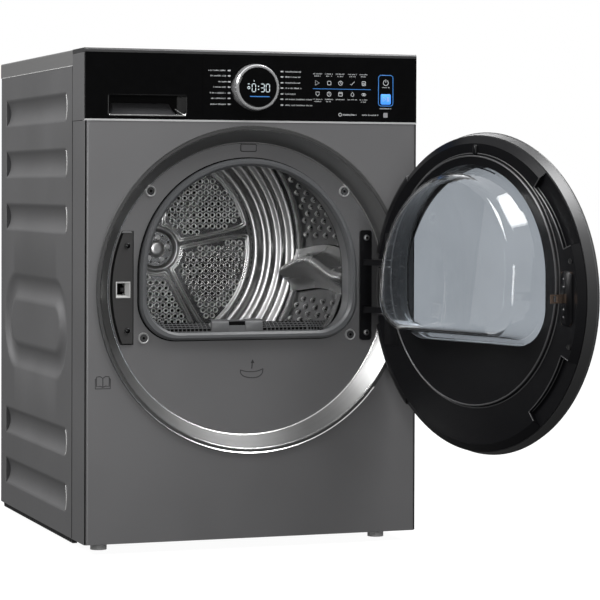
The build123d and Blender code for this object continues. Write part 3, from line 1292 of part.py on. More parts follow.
# Selector ring that turns round the fixed display
with BuildPart() as dial_ring:
    with BuildSketch(DIAL_SECTION):
        profile(
            (DISPLAY_RADIUS + 0.6, -DIAL_HEIGHT),
            (DIAL_RADIUS - 3, -DIAL_HEIGHT),
            (DIAL_RADIUS - 1.5, -DIAL_HEIGHT + 1.5),
            (DIAL_RADIUS, -0.3),
            (SLEEVE_RADIUS, -0.3),
            (SLEEVE_RADIUS, FASCIA_PLATE + 3),
            (DISPLAY_RADIUS + 0.6, FASCIA_PLATE + 3),
        )
    revolve(axis=Axis(DIAL_SECTION.origin, ALONG_Y))
write(dial_ring, "dial_ring")

BOARD_DEPTH = 17.0
BOARD = (-80.0, 262.0, 738.0, 828.0)
with BuildPart() as display_lens:
    with BuildSketch(front_plane(-DIAL_HEIGHT)):
        with Locations((DIAL_X, DIAL_Z)):
            Circle(DISPLAY_RADIUS)
    extrude(amount=-DIAL_HEIGHT - BOARD_DEPTH)
    chamfer(display_lens.faces().sort_by(Axis.Y)[0].edges(), 1)
write(display_lens, "display_lens")

with BuildPart() as control_board:
    with BuildSketch(front_plane(BOARD_DEPTH)):
        span(*BOARD)
    extrude(amount=-1.6)
write(control_board, "control_board")

# Top panel, a shallow lid behind the fascia
with BuildPart() as top_panel:
    with BuildSketch(Plane.XY.offset(LID_BOTTOM)):
        span(-SIDE_X, SIDE_X, FRONT_Y + FASCIA_DEPTH, REAR_Y + LID_OVERHANG)
    extrude(amount=CABINET_HEIGHT - LID_BOTTOM)
    fillet(top_panel.edges().filter_by(Axis.Y).group_by(Axis.Z)[-1], 3)
    with BuildSketch(Plane.XY.offset(LID_BOTTOM)):
        span(-SIDE_X + LID_WALL, SIDE_X - LID_WALL, FRONT_Y + FASCIA_DEPTH, REAR_Y + LID_OVERHANG - LID_WALL)
    extrude(amount=CABINET_HEIGHT - LID_BOTTOM - LID_WALL, mode=Mode.SUBTRACT)
write(top_panel, "top_panel")
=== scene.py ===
import json
import math
import random

import bpy
from mathutils import Matrix, Vector


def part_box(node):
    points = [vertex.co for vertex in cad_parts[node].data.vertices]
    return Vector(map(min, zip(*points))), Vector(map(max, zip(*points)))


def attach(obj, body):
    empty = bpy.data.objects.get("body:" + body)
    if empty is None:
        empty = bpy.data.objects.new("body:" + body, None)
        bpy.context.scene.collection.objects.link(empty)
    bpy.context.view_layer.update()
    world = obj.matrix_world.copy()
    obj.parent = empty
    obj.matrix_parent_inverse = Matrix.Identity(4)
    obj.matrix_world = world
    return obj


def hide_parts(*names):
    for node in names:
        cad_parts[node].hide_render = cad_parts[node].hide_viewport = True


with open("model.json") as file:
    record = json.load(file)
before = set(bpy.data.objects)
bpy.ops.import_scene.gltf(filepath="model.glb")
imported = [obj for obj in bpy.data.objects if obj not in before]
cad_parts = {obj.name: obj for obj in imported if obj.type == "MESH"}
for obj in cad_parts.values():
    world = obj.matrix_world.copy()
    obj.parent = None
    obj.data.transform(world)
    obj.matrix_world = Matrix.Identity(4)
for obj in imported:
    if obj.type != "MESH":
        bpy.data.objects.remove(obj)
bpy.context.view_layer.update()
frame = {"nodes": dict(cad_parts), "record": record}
nodes = frame["nodes"]

# Places repeated from the solids, in millimetres; depth is measured back from the cabinet's front
FRONT_Y = -300.0
SIDE_X = 297.5
PANEL_FOOT = 19.0
LID_LINE_Z = 817.8
DUCT_FACE = 632.0
HINGE = (242.0, -309.0)
DOOR_OPEN = 107.0
DOOR_Z = 440.0
DOOR_INNER = 12.0
DOOR_FRAME = 246.0
RECESS_Z = 440.5
RECESS_AXIS = (0.0, RECESS_Z)
RECESS_DEPTH = 30.0
FLOOR_SCREWS = ((-175, 607), (175, 607), (-187, 359), (187, 359))
HINGE_SCREWS = ((216, 527), (216, 362))
LATCH_SCREWS = ((-216, 515), (-216, 372))
PLATE_FOOT = 349.0
PLATE_TOP = 540.0
PLATE_ARC = 246.0
PLATE_EDGE = -205.9
ARCH_Z = 467.0
DRUM_Z = 495.0
DRUM_AXIS = (0.0, DRUM_Z)
DRUM_WALL = 282.8
FIELD_FACE = 268.8
HOLE_PITCH = 12.5
FIELD_INNER = 55.0
FIELD_OUTER = 176.0
SPOKES = 5
SPOKE_HALF = 15.0
SPOKE_ANGLE = 11.0
LIFTER_ANGLES = (-7.5, 112.5, 232.5)
DIAL_AXIS = (1.0, 783.0)

door_turn = (
    Matrix.Translation((HINGE[0] / 1000, HINGE[1] / 1000, 0))
    @ Matrix.Rotation(math.radians(DOOR_OPEN), 4, "Z")
    @ Matrix.Translation((-HINGE[0] / 1000, -HINGE[1] / 1000, 0))
)

# Materials
NOISE_BAND = (0.3, 0.7)


def shader(name):
    """New node material; returns it with its tree and its surface node."""
    material = bpy.data.materials.new(name)
    material.use_nodes = True
    tree = material.node_tree
    return material, tree, tree.nodes["Principled BSDF"]


def set_inputs(node, values):
    """Sets input values; an underscore stands for the space in an input's name."""
    for socket, value in values.items():
        node.inputs[socket.replace("_", " ")].default_value = value


def link(source, node, socket):
    """Leads an output into a node's input."""
    node.id_data.links.new(source, node.inputs[socket])


def add_node(tree, kind, operation=None, **values):
    """New shader node with its operation and input values."""
    node = tree.nodes.new("ShaderNode" + kind)
    if operation:
        node.operation = operation
    set_inputs(node, values)
    return node


def coordinates(tree, stretch=(1, 1, 1), spin=None):
    """Object coordinates, stretched; with spin, X is the distance from an axis along Y, and Z is left out."""
    place = add_node(tree, "TexCoord").outputs["Object"]
    if spin is not None:
        shift = add_node(tree, "VectorMath", "SUBTRACT")
        shift.inputs[1].default_value = (spin[0] / 1000, 0, spin[1] / 1000)
        link(place, shift, 0)
        split = add_node(tree, "SeparateXYZ")
        link(shift.outputs["Vector"], split, "Vector")
        flat = add_node(tree, "CombineXYZ")
        link(split.outputs["X"], flat, "X")
        link(split.outputs["Z"], flat, "Z")
        length = add_node(tree, "VectorMath", "LENGTH")
        link(flat.outputs["Vector"], length, 0)
        turned = add_node(tree, "CombineXYZ")
        link(length.outputs["Value"], turned, "X")
        link(split.outputs["Y"], turned, "Y")
        place = turned.outputs["Vector"]
    scale = add_node(tree, "Mapping", Scale=stretch)
    link(place, scale, "Vector")
    return scale.outputs["Vector"]


def noise(tree, vector, scale, detail=3.0):
    """Value of a noise at a place."""
    texture = add_node(tree, "TexNoise", Scale=scale, Detail=detail)
    link(vector, texture, "Vector")
    return texture.outputs["Fac"]


def spread(tree, value, low, high):
    """Noise brought from its middle band to a range of values."""
    span = add_node(tree, "MapRange", From_Min=NOISE_BAND[0], From_Max=NOISE_BAND[1], To_Min=low, To_Max=high)
    link(value, span, "Value")
    return span.outputs["Result"]


def tones(tree, value, dark, light, limits=NOISE_BAND):
    """Two colours mixed by a value that runs between limits."""
    ramp = add_node(tree, "ValToRGB")
    for stop, place, colour in zip(ramp.color_ramp.elements, limits, (dark, light)):
        stop.position = place
        stop.color = (*colour, 1)
    link(value, ramp, "Fac")
    return ramp.outputs["Color"]


def bump(tree, surface, height, strength, distance):
    """Fine relief from a height."""
    node = add_node(tree, "Bump", Strength=strength, Distance=distance)
    link(height, node, "Height")
    link(node.outputs["Normal"], surface, "Normal")


def finish(name, colour, rough, grain, tone=0.08, metal=0.0, relief=0.0, distance=0.0004, patch=7.0,
           rough_spread=0.05, stretch=(1, 1, 1), spin=None, **inputs):
    """A solid finish: fine grain in the colour, slow patches in the gloss, relief from the grain."""
    material, tree, surface = shader(name)
    fine = noise(tree, coordinates(tree, stretch, spin), grain)
    dark = [c * (1 - tone) for c in colour]
    light = [min(1.0, c * (1 + tone)) for c in colour]
    link(tones(tree, fine, dark, light), surface, "Base Color")
    slow = noise(tree, coordinates(tree), patch, 4.0)
    link(spread(tree, slow, rough - rough_spread, rough + rough_spread), surface, "Roughness")
    set_inputs(surface, {"Metallic": metal, **inputs})
    if relief:
        bump(tree, surface, fine, relief, distance)
    return material


def drum_steel(name, colour, rough, tone, rough_spread=0.03):
    """Bright metal with its grain turned about the drum's axis."""
    return finish(name, colour, rough, 900.0, tone=tone, metal=1.0, spin=DRUM_AXIS, rough_spread=rough_spread)


def clear(name, tint, rough, ior, smear):
    """Clear moulded glass with a faint tint and slow thickness waves."""
    material, tree, surface = shader(name)
    slow = noise(tree, coordinates(tree), 9.0, 2.0)
    dark = [c * 0.97 for c in tint]
    light = [min(1.0, c * 1.03) for c in tint]
    link(tones(tree, slow, dark, light), surface, "Base Color")
    link(spread(tree, slow, rough, rough + smear), surface, "Roughness")
    set_inputs(surface, {"Transmission Weight": 1.0, "IOR": ior})
    return material


def glow(name, colour, strength):
    """Printed or lit mark, a little uneven, with its own emission; on a printed mark the glow is painted
    light.
    """
    material, tree, surface = shader(name)
    fine = noise(tree, coordinates(tree), 700.0)
    uneven = tones(tree, fine, [c * 0.85 for c in colour], colour)
    link(uneven, surface, "Base Color")
    link(uneven, surface, "Emission Color")
    set_inputs(surface, {"Emission Strength": strength, "Roughness": 0.5})
    return material


def recolour(material, way, edge, colour):
    """Another colour for what lies beyond an edge along an axis."""
    tree = material.node_tree
    surface = tree.nodes["Principled BSDF"]
    inner = surface.inputs["Base Color"].links[0].from_socket
    reach = add_node(tree, "SeparateXYZ")
    link(coordinates(tree), reach, "Vector")
    beyond = add_node(tree, "Math", "GREATER_THAN")
    beyond.inputs[1].default_value = edge / 1000
    link(reach.outputs[way], beyond, 0)
    blend = add_node(tree, "Mix")
    blend.data_type = "RGBA"
    blend.inputs["B"].default_value = (*colour, 1)
    link(beyond.outputs["Value"], blend, "Factor")
    link(inner, blend, "A")
    link(blend.outputs["Result"], surface, "Base Color")


BRUSHED = (0.05, 1, 6)
paint = finish("cabinet_paint", (0.170, 0.169, 0.172), 0.42, 2600.0, tone=0.16, metal=0.45, relief=0.05,
               distance=0.0002)
base_black = finish("moulded_black", (0.022, 0.022, 0.023), 0.55, 1500.0, relief=0.12)
# Near-black for the scoops' rear walls: painted shade
scoop_painted_shade = finish("scoop_painted_shade", (0.030, 0.030, 0.032), 0.60, 900.0, tone=0.10, relief=0.02)
# A darker copy of the cabinet paint for the ring's lip: painted shade
lip_paint_shaded = finish("lip_paint_shaded", (0.070, 0.070, 0.070), 0.42, 2600.0, tone=0.10, metal=0.45, relief=0.04)
lid_grey = finish("lid_grey", (0.170, 0.169, 0.168), 0.58, 2600.0, tone=0.06, metal=0.2, relief=0.04)
gloss_black = finish("fascia_gloss", (0.0018, 0.0018, 0.0020), 0.10, 60.0, tone=0.2, rough_spread=0.02,
                     Specular_IOR_Level=0.24)
pocket_black = finish("pocket_black", (0.038, 0.038, 0.040), 0.32, 900.0, tone=0.1, relief=0.05)
# Silver for the strip on the latch plate's upper edge: painted highlight
silver_edge_highlight = finish("silver_edge_highlight", (0.27, 0.27, 0.275), 0.30, 400.0, metal=0.9, relief=0.04, stretch=BRUSHED)
# A brighter, shinier copy of the ring's metal for beads along edges: painted highlights
polished_highlight = finish("polished_highlight", (0.80, 0.80, 0.79), 0.22, 1400.0, tone=0.04, metal=1.0, spin=RECESS_AXIS)
fascia_trim = finish("fascia_trim", (0.60, 0.60, 0.60), 0.32, 400.0, metal=0.35, relief=0.04, stretch=BRUSHED)
recolour(fascia_trim, "Z", 800.0, (0.055, 0.055, 0.056))
filter_grey = finish("filter_grey", (0.13, 0.132, 0.135), 0.45, 1200.0, relief=0.08)
latch_dark = finish("latch_dark", (0.030, 0.029, 0.029), 0.42, 1500.0, relief=0.07)
latch_white = finish("latch_white", (0.60, 0.60, 0.59), 0.45, 900.0, tone=0.03, relief=0.03)
door_black = finish("door_black", (0.0036, 0.0036, 0.0044), 0.34, 2400.0, tone=0.15, relief=0.10,
                    distance=0.0002, Specular_IOR_Level=0.24)
# A lighter grey for lines on the black door's edges: painted highlights
door_edge_highlight = finish("door_edge_highlight", (0.10, 0.10, 0.102), 0.38, 2000.0, tone=0.10, metal=0.35, relief=0.04)
stainless = drum_steel("stainless", (0.66, 0.66, 0.66), 0.31, 0.04)
# The drum's one steel in copies of different brightness: the dark wall and plate copies are painted shade,
# the light press and droplet copies painted highlights
wall_steel_painted_shade = drum_steel("wall_steel_painted_shade", (0.10, 0.10, 0.102), 0.18, 0.08)
plate_steel_painted_shade = drum_steel("plate_steel_painted_shade", (0.42, 0.42, 0.425), 0.24, 0.06)
press_steel_painted_highlight = drum_steel("press_steel_painted_highlight", (0.88, 0.88, 0.88), 0.28, 0.04)
droplet_steel_painted_highlight = drum_steel("droplet_steel_painted_highlight", (0.90, 0.90, 0.90), 0.12, 0.04, 0.02)
screw_steel = finish("screw_steel", (0.42, 0.42, 0.42), 0.30, 1500.0, tone=0.12, metal=1.0, relief=0.05)
screw_dark = finish("screw_dark", (0.13, 0.13, 0.132), 0.26, 1500.0, tone=0.12, metal=1.0, relief=0.05)
seam_black = finish("seam_black", (0.003, 0.003, 0.003), 0.7, 1500.0, relief=0.1, Specular_IOR_Level=0.08)
mark_dark = finish("mark_dark", (0.018, 0.018, 0.019), 0.6, 1500.0, relief=0.05)
# White and grey prints glow faintly though they are no lamps: painted light
mark_white = glow("mark_white", (0.46, 0.47, 0.48), 0.10)
mark_grey = glow("mark_grey", (0.26, 0.26, 0.27), 0.08)
digit_white = glow("digit_white", (0.62, 0.70, 0.74), 0.6)
mark_blue = glow("mark_blue", (0.03, 0.17, 0.48), 0.42)
key_blue = glow("key_blue", (0.05, 0.27, 0.90), 0.70)

# Finishes of the solids: by their material slot, with a few nodes of their own
SLOT_FINISH = {
    "cabinet_grey": paint, "base_black": base_black, "fascia_black": gloss_black, "silver_trim": fascia_trim,
    "filter_grey": filter_grey, "latch_dark": latch_dark, "latch_white": latch_white,
    "door_black": door_black, "stainless": stainless, "screw_steel": screw_steel,
    "ring_silver": finish("ring_silver", (0.30, 0.30, 0.298), 0.34, 1400.0, tone=0.06, metal=0.92,
                          relief=0.03, spin=RECESS_AXIS),
    "door_rim": finish("door_rim", (0.055, 0.055, 0.056), 0.42, 2000.0, tone=0.12, metal=0.3, relief=0.06,
                       distance=0.0002),
    "dial_chrome": finish("dial_chrome", (0.86, 0.86, 0.87), 0.16, 1600.0, tone=0.05, metal=0.78,
                          relief=0.05, spin=DIAL_AXIS),
    "collar_grey": finish("collar_grey", (0.098, 0.101, 0.105), 0.34, 900.0, tone=0.06, relief=0.04),
    "mesh": finish("filter_mesh", (0.05, 0.05, 0.052), 0.7, 2200.0, tone=0.4, relief=0.4),
    "felt": finish("felt", (0.40, 0.39, 0.36), 0.9, 1800.0, tone=0.25, relief=0.5),
    "tinted_glass": clear("tinted_glass", (0.34, 0.365, 0.395), 0.01, 1.12, 0.01),
    "bowl_glass": clear("bowl_glass", (0.93, 0.95, 0.965), 0.01, 1.40, 0.015),
    "striker_brass": finish("striker_brass", (0.55, 0.40, 0.31), 0.20, 700.0, metal=1.0, relief=0.05),
    "galvanised": finish("galvanised", (0.42, 0.43, 0.44), 0.38, 120.0, tone=0.18, metal=1.0, relief=0.04),
    "fins": finish("fins", (0.58, 0.59, 0.60), 0.35, 800.0, metal=1.0, relief=0.1, stretch=(8, 1, 1)),
    "copper": finish("copper", (0.62, 0.30, 0.16), 0.30, 300.0, tone=0.15, metal=1.0),
    "compressor_black": finish("compressor_black", (0.015, 0.015, 0.015), 0.35, 900.0, relief=0.08),
    "motor_grey": finish("motor_grey", (0.32, 0.32, 0.33), 0.45, 500.0, metal=0.8, relief=0.2),
    "inner_plastic": finish("inner_plastic", (0.46, 0.48, 0.49), 0.45, 800.0, relief=0.05),
    "belt_rubber": finish("belt_rubber", (0.012, 0.012, 0.012), 0.6, 1200.0, relief=0.15),
    "board_green": finish("board_green", (0.015, 0.12, 0.05), 0.4, 500.0, tone=0.3),
    "foot_grey": finish("foot_grey", (0.60, 0.60, 0.60), 0.5, 1100.0, relief=0.1),
}
# The drum's shell, back and shaft take the darker copies of its steel, painted shade
NODE_FINISH = {
    "drum_shell": wall_steel_painted_shade, "drum_back": plate_steel_painted_shade, "drum_shaft": plate_steel_painted_shade,
    "latch_catch": latch_dark, "hinge_plate": door_black, "top_panel": lid_grey,
    "front_screws": screw_dark, "door_screws": screw_dark,
}
for row in frame["record"]["subparts"]:
    holder = nodes[row["node"]]
    if not holder.material_slots:
        holder.data.materials.append(None)
    for place in holder.material_slots:
        place.material = NODE_FINISH.get(row["node"], SLOT_FINISH[row["material_slot"]])


# Mesh helpers; every shape is a list of points in millimetres (X, depth, Z) and a list of faces
def join(*shapes):
    """Several shapes as one."""
    points, faces = [], []
    for some_points, some_faces in shapes:
        start = len(points)
        points += some_points
        faces += [tuple(i + start for i in face) for face in some_faces]
    return points, faces


def band(rows, count, closed=False, ring=False):
    """Quads between rows of points; closed joins the ends of each row, ring the last row to the first."""
    faces = []
    for row in range(rows if ring else rows - 1):
        after = (row + 1) % rows
        for i in range(count if closed else count - 1):
            j = (i + 1) % count
            faces.append((row * count + i, row * count + j, after * count + j, after * count + i))
    return faces


def add_piece(name, shapes, body, material, smooth=True, sharp=40.0):
    """Makes an object of shapes and hangs it on a body; shapes of the door are drawn with it shut."""
    points, faces = join(*shapes)
    mesh = bpy.data.meshes.new(name)
    places = [Vector((x / 1000, (FRONT_Y + depth) / 1000, z / 1000)) for x, depth, z in points]
    if body == "door":
        places = [door_turn @ p for p in places]
    mesh.from_pydata(places, [], faces)
    mesh.update()
    mesh.materials.append(material)
    piece = bpy.data.objects.new(name, mesh)
    bpy.context.scene.collection.objects.link(piece)
    if smooth:
        mesh.polygons.foreach_set("use_smooth", [True] * len(mesh.polygons))
        mesh.set_sharp_from_angle(angle=math.radians(sharp))
    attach(piece, body)
    return piece


def lathe(profile, centre, steps, closed=False, start=0.0, sweep=360.0):
    """Turns (radius, depth) points about an axis along Y through centre."""
    points = []
    count = len(profile)
    whole = sweep >= 360.0
    rows = steps if whole else steps + 1
    for step in range(rows):
        angle = math.radians(start + sweep * step / steps)
        for radius, depth in profile:
            points.append((centre[0] + radius * math.cos(angle), depth, centre[1] + radius * math.sin(angle)))
    faces = [(a, d, c, b) for a, b, c, d in band(rows, count, closed, whole)]
    if closed and not whole:
        faces.append(tuple(range(count)))
        faces.append(tuple(steps * count + i for i in range(count))[::-1])
    return points, faces


def tube(path, radius, sides=8, closed=False, flat=1.0):
    """Sweeps a round bead along points; flat squeezes its depth."""
    points = []
    count = len(path)
    track = [Vector(p) for p in path]
    for i in range(count):
        before = track[i - 1] if closed or i else track[0]
        after = track[(i + 1) % count] if closed or i < count - 1 else track[-1]
        ahead = (after - before).normalized()
        across = ahead.cross(Vector((0, 1, 0)))
        across = across.normalized() if across.length > 1e-6 else Vector((1, 0, 0))
        rise = across.cross(ahead).normalized()
        for side in range(sides):
            angle = 2 * math.pi * side / sides
            spot = track[i] + across * radius * math.cos(angle) + rise * radius * flat * math.sin(angle)
            points.append(tuple(spot))
    faces = band(count, sides, True, closed)
    if not closed:
        faces.append(tuple(range(sides))[::-1])
        faces.append(tuple((count - 1) * sides + side for side in range(sides)))
    return points, faces


def drawn_in(outline, amount):
    """An outline with its points moved towards its middle."""
    count = len(outline)
    mid_x = sum(x for x, z in outline) / count
    mid_z = sum(z for x, z in outline) / count
    ring = []
    for x, z in outline:
        keep = 1 - amount / (math.hypot(x - mid_x, z - mid_z) or 1.0)
        ring.append((mid_x + (x - mid_x) * keep, mid_z + (z - mid_z) * keep))
    return ring


def plate(outline, back, front, bevel=0.0):
    """Flat plate over an (X, Z) outline between two depths, with its front edge drawn in by bevel."""
    count = len(outline)
    rings = [(outline, back)]
    if bevel:
        edge = math.copysign(min(bevel, abs(back - front) / 2), back - front)
        rings += [(outline, front + edge), (drawn_in(outline, bevel), front)]
    else:
        rings.append((outline, front))
    points = [(x, depth, z) for ring, depth in rings for x, z in ring]
    faces = band(len(rings), count, True)
    faces.append(tuple(range(count))[::-1])
    faces.append(tuple((len(rings) - 1) * count + i for i in range(count)))
    return points, faces


def block(x0, x1, z0, z1):
    """Outline of a rectangle, anticlockwise."""
    return [(x0, z0), (x1, z0), (x1, z1), (x0, z1)]


def rounded(x0, x1, z0, z1, radius, steps=5):
    """Outline of a rectangle with round corners, anticlockwise."""
    ring = circle(x1 - radius, z1 - radius, radius, steps, 0, 90)
    ring += circle(x0 + radius, z1 - radius, radius, steps, 90, 90)
    ring += circle(x0 + radius, z0 + radius, radius, steps, 180, 90)
    ring += circle(x1 - radius, z0 + radius, radius, steps, 270, 90)
    return ring


def circle(x, z, radius, steps=24, start=0.0, sweep=360.0):
    """Outline of a circle, or the points of an arc."""
    count = steps if sweep >= 360.0 else steps + 1
    turns = [math.radians(start + sweep * i / steps) for i in range(count)]
    return [(x + radius * math.cos(a), z + radius * math.sin(a)) for a in turns]


def arch(half, sill, corner, steps=24):
    """Outline of the loading opening, round above and with round corners below."""
    ring = circle(0, ARCH_Z, half, 2 * steps, 0, 180)
    ring += circle(-half + corner, sill + corner, corner, steps // 2, 180, 90)
    ring += circle(half - corner, sill + corner, corner, steps // 2, 270, 90)
    return ring


def at_depth(outline, depth):
    return [(x, depth, z) for x, z in outline]


def stroke(outline, closed=False, thick=0.55, depth=-0.05):
    """A drawn line: a flattened bead along an outline."""
    return tube(at_depth(outline, depth), thick, 6, closed, 0.5)


def soften(ring, rounds=2):
    """Cuts the corners of a closed line."""
    for _ in range(rounds):
        cut = []
        for (x, z), (nx, nz) in zip(ring, ring[1:] + ring[:1]):
            cut.append((0.75 * x + 0.25 * nx, 0.75 * z + 0.25 * nz))
            cut.append((0.25 * x + 0.75 * nx, 0.25 * z + 0.75 * nz))
        ring = cut
    return ring


def smooth_curve(points, steps=6):
    """Smooth line through points."""
    curve = []
    padded = [points[0]] + list(points) + [points[-1]]
    for i in range(1, len(padded) - 2):
        corners = list(zip(*padded[i - 1:i + 3]))
        for step in range(steps):
            t = step / steps
            curve.append(tuple(
                b + 0.5 * t * (c - a + t * (2 * a - 5 * b + 4 * c - d + t * (3 * b - a - 3 * c + d)))
                for a, b, c, d in corners
            ))
    return curve + [points[-1]]


# Drum back: embossed cups round the holes, beads round the fields, waves of the outer ring, hub
SECTOR = 360 / SPOKES
CUP = ((2.72, 0.4), (3.0, -0.4), (3.6, -1.2), (4.3, -1.9), (4.9, -2.2), (5.3, -2.0), (5.7, -1.1), (5.95, 0.1))
FIELD_BEADS = ((4.2, 47.5, 186.0, 2.3), (8.6, 51.5, 182.0, 2.0))
BEAD_STEPS = 12
WAVES = ((187.0, 268.9), (190.5, 264.5), (194.5, 260.0), (199, 257.8), (204, 258.0), (208.5, 260.2),
         (214.5, 262.6), (219.5, 261.8), (224.5, 258.6), (229.5, 256.8), (235, 257.8), (240, 259.4),
         (245, 257.6), (250, 255.4), (255.5, 256.2), (260.5, 257.8), (266, 255.6), (271.5, 252.8),
         (277, 252.6), (282.4, 257.5))
WALL_BEAD = ((282.9, 246), (280.5, 243), (277.5, 237), (280.5, 231), (282.9, 228))
HUB_RING = ((33, 273.6), (35.5, 269.0), (39.5, 265.6), (43.5, 266.6), (45.5, 268.9))
HUB_DOME = ((0.01, 261.8), (7.0, 261.8), (12.5, 262.8), (16.0, 265.6), (17.0, 269.0))
HUB_DOTS = 10
DOT_CIRCLE = 27.0


def drum_depth(y):
    return y - FRONT_Y


def drum_turned(points, steps):
    """A smooth profile of (radius, Y) points, turned about the drum's axis."""
    return lathe([(radius, drum_depth(y)) for radius, y in smooth_curve(points, 4)], DRUM_AXIS, steps)


cup_profile = [(radius, drum_depth(FIELD_FACE + rise)) for radius, rise in CUP]
cups = []
hole_rows = int(FIELD_OUTER / HOLE_PITCH) + 2
for row in range(-hole_rows, hole_rows + 1):
    for column in range(-hole_rows, hole_rows + 1):
        x = (column + (row % 2) / 2) * HOLE_PITCH
        z = row * HOLE_PITCH * math.sqrt(3) / 2
        reach = math.hypot(x, z)
        turn = (math.degrees(math.atan2(z, x)) - SPOKE_ANGLE) % SECTOR
        from_spoke = reach * math.sin(math.radians(min(turn, SECTOR - turn)))
        if FIELD_INNER < reach < FIELD_OUTER and from_spoke > SPOKE_HALF:
            cups.append(lathe(cup_profile, (x, DRUM_Z + z), 14))
# Cups and field beads take the lighter copy of the drum steel, a painted highlight
add_piece("drum_cups", cups, "drum", press_steel_painted_highlight, sharp=80)

field_beads = []
for k in range(SPOKES):
    low = math.radians(SPOKE_ANGLE + SECTOR * k)
    high = low + math.radians(SECTOR)
    for gap, inner, outer, radius in FIELD_BEADS:
        ring = []
        for reach, first, last in ((outer, low, high), (inner, high, low)):
            lean = math.copysign(math.asin(gap / reach), last - first)
            for step in range(BEAD_STEPS + 1):
                turn = first + lean + (last - first - 2 * lean) * step / BEAD_STEPS
                ring.append((reach * math.cos(turn), DRUM_Z + reach * math.sin(turn)))
        field_beads.append(tube(at_depth(soften(ring), drum_depth(FIELD_FACE + 0.3)), radius, 8, True))
add_piece("drum_field_beads", field_beads, "drum", press_steel_painted_highlight, sharp=80)
add_piece("drum_back_waves", [drum_turned(WAVES, 128)], "drum", stainless, sharp=80)
add_piece("drum_wall_bead", [drum_turned(WALL_BEAD, 128)], "drum", stainless, sharp=80)
hub_rings = [drum_turned(HUB_RING, 72), drum_turned(HUB_DOME, 48)]
add_piece("hub_rings", hub_rings, "drum", stainless, sharp=80)
hub_dots = []
for x, z in circle(*DRUM_AXIS, DOT_CIRCLE, HUB_DOTS, SPOKE_ANGLE + 180 / HUB_DOTS):
    hub_dots.append(plate(circle(x, z, 1.9, 12), drum_depth(270.4), drum_depth(270.0)))
add_piece("hub_dots", hub_dots, "drum", seam_black, smooth=False)

# Drum wall: rows of pressed droplets, and wavy lifters in place of the straight ones
DROP_ROWS = (-154, -128, -102, -76, -50, 20, 46, 72, 98, 124, 150, 176, 202)
DROP_COLUMNS = 64
DROP_RINGS = ((1.0, 0.0), (0.82, 2.2), (0.45, 3.8), (0.0, 4.3))
DROP_SIDES = 10
DROP_LONG = 11.0
DROP_WIDE = 6.2
DROP_TAPER = 0.35
LIFTER_CLEAR = 11.6
LIFTER_START = -152
LIFTER_LENGTH = 400
LIFTER_RISE = 44.0
LIFTER_SWAY = 3.4
LIFTER_FOOT = 4.8
STATIONS = 48
SECTION = ((-8.5, 0.0), (-6.2, 0.10), (-3.9, 0.42), (-2.3, 0.78), (-1.1, 0.96), (0.0, 1.0),
           (1.1, 0.96), (2.3, 0.78), (3.9, 0.42), (6.2, 0.10), (8.5, 0.0))


def drum_point(reach, turn, y):
    """A place in the drum from its distance to the axis, its angle and its Y."""
    return reach * math.cos(turn), drum_depth(y), DRUM_Z + reach * math.sin(turn)


def droplet(angle, y):
    """A tapered drop that stands in from the wall."""
    points = []
    for size, rise in DROP_RINGS:
        for side in range(DROP_SIDES if size else 1):
            around = 2 * math.pi * side / DROP_SIDES
            along = DROP_LONG * size * math.cos(around)
            tangent = DROP_WIDE * size * math.sin(around) * (1.0 - DROP_TAPER * math.cos(around))
            turn = math.radians(angle) + tangent / DRUM_WALL
            points.append(drum_point(DRUM_WALL + 0.2 - rise, turn, y + along))
    faces = band(3, DROP_SIDES, True)
    for side in range(DROP_SIDES):
        faces.append((2 * DROP_SIDES + side, 2 * DROP_SIDES + (side + 1) % DROP_SIDES, 3 * DROP_SIDES))
    return points, faces


def lifter(heading):
    """A blade along the wall: low at its ends, swaying from side to side."""
    points = []
    for station in range(STATIONS + 1):
        t = station / STATIONS
        rise = LIFTER_RISE * min(1.0, t / 0.10) ** 0.5 * min(1.0, 0.55 + (1.0 - t) / 0.16)
        sway = LIFTER_SWAY * math.sin(2 * math.pi * t * 1.15 + 3.6)
        for lean, share in SECTION:
            turn = math.radians(heading + lean + sway * (0.35 + 0.65 * share))
            reach = DRUM_WALL - LIFTER_FOOT - rise * share
            points.append(drum_point(reach, turn, LIFTER_START + LIFTER_LENGTH * t))
    count = len(SECTION)
    faces = band(STATIONS + 1, count)
    faces.append(tuple(range(count)))
    faces.append(tuple(STATIONS * count + i for i in range(count))[::-1])
    return points, faces


droplets = []
for index, y in enumerate(DROP_ROWS):
    for column in range(DROP_COLUMNS):
        angle = 360 * (column + (index % 2) / 2) / DROP_COLUMNS
        near = min(abs((angle - a + 180) % 360 - 180) for a in LIFTER_ANGLES)
        if near >= LIFTER_CLEAR:
            droplets.append(droplet(angle, y))
# Droplets and lifters take lighter copies of the drum steel, painted highlights
add_piece("drum_droplets", droplets, "drum", droplet_steel_painted_highlight, sharp=80)
lifters = [lifter(heading) for heading in LIFTER_ANGLES]
blades = add_piece("lifter_blades", lifters, "drum", press_steel_painted_highlight, sharp=70)
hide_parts("drum_lifters")

# Control panel marks, thin prints on the gloss plate; the white and grey prints glow faintly, painted light
LINES = (811, 802, 792, 783, 773, 764, 754)
LEFT_STARTS = (-83, -79, -65, -74, -80, -78, -79)
RIGHT_ENDS = (84, 83, 82, 85, 74, 104, 104)
LAMP_COLUMNS = (-46, 49)
KEYS = (114, 135, 156, 178, 199)
draw = random.Random(7)


def add_mark(name, shapes, material, smooth=True):
    """A print or light on the control panel."""
    add_piece(name, shapes, "cabinet", material, smooth)


def printed(outline):
    return plate(outline, 0.05, -0.25)


def words(x0, x1, z, tall):
    """A line of print too small to read: narrow letter blocks of uneven width."""
    blocks = []
    x = x0
    foot = z - tall / 2
    while x < x1 - 0.8:
        wide = min(draw.choice((0.6, 0.8, 1.1)), x1 - x)
        high = tall * draw.choice((0.75, 0.9, 1.0))
        blocks.append(printed(block(x, x + wide, foot, foot + high)))
        x += wide + (2.2 if draw.random() < 0.14 else 0.85)
    return join(*blocks)


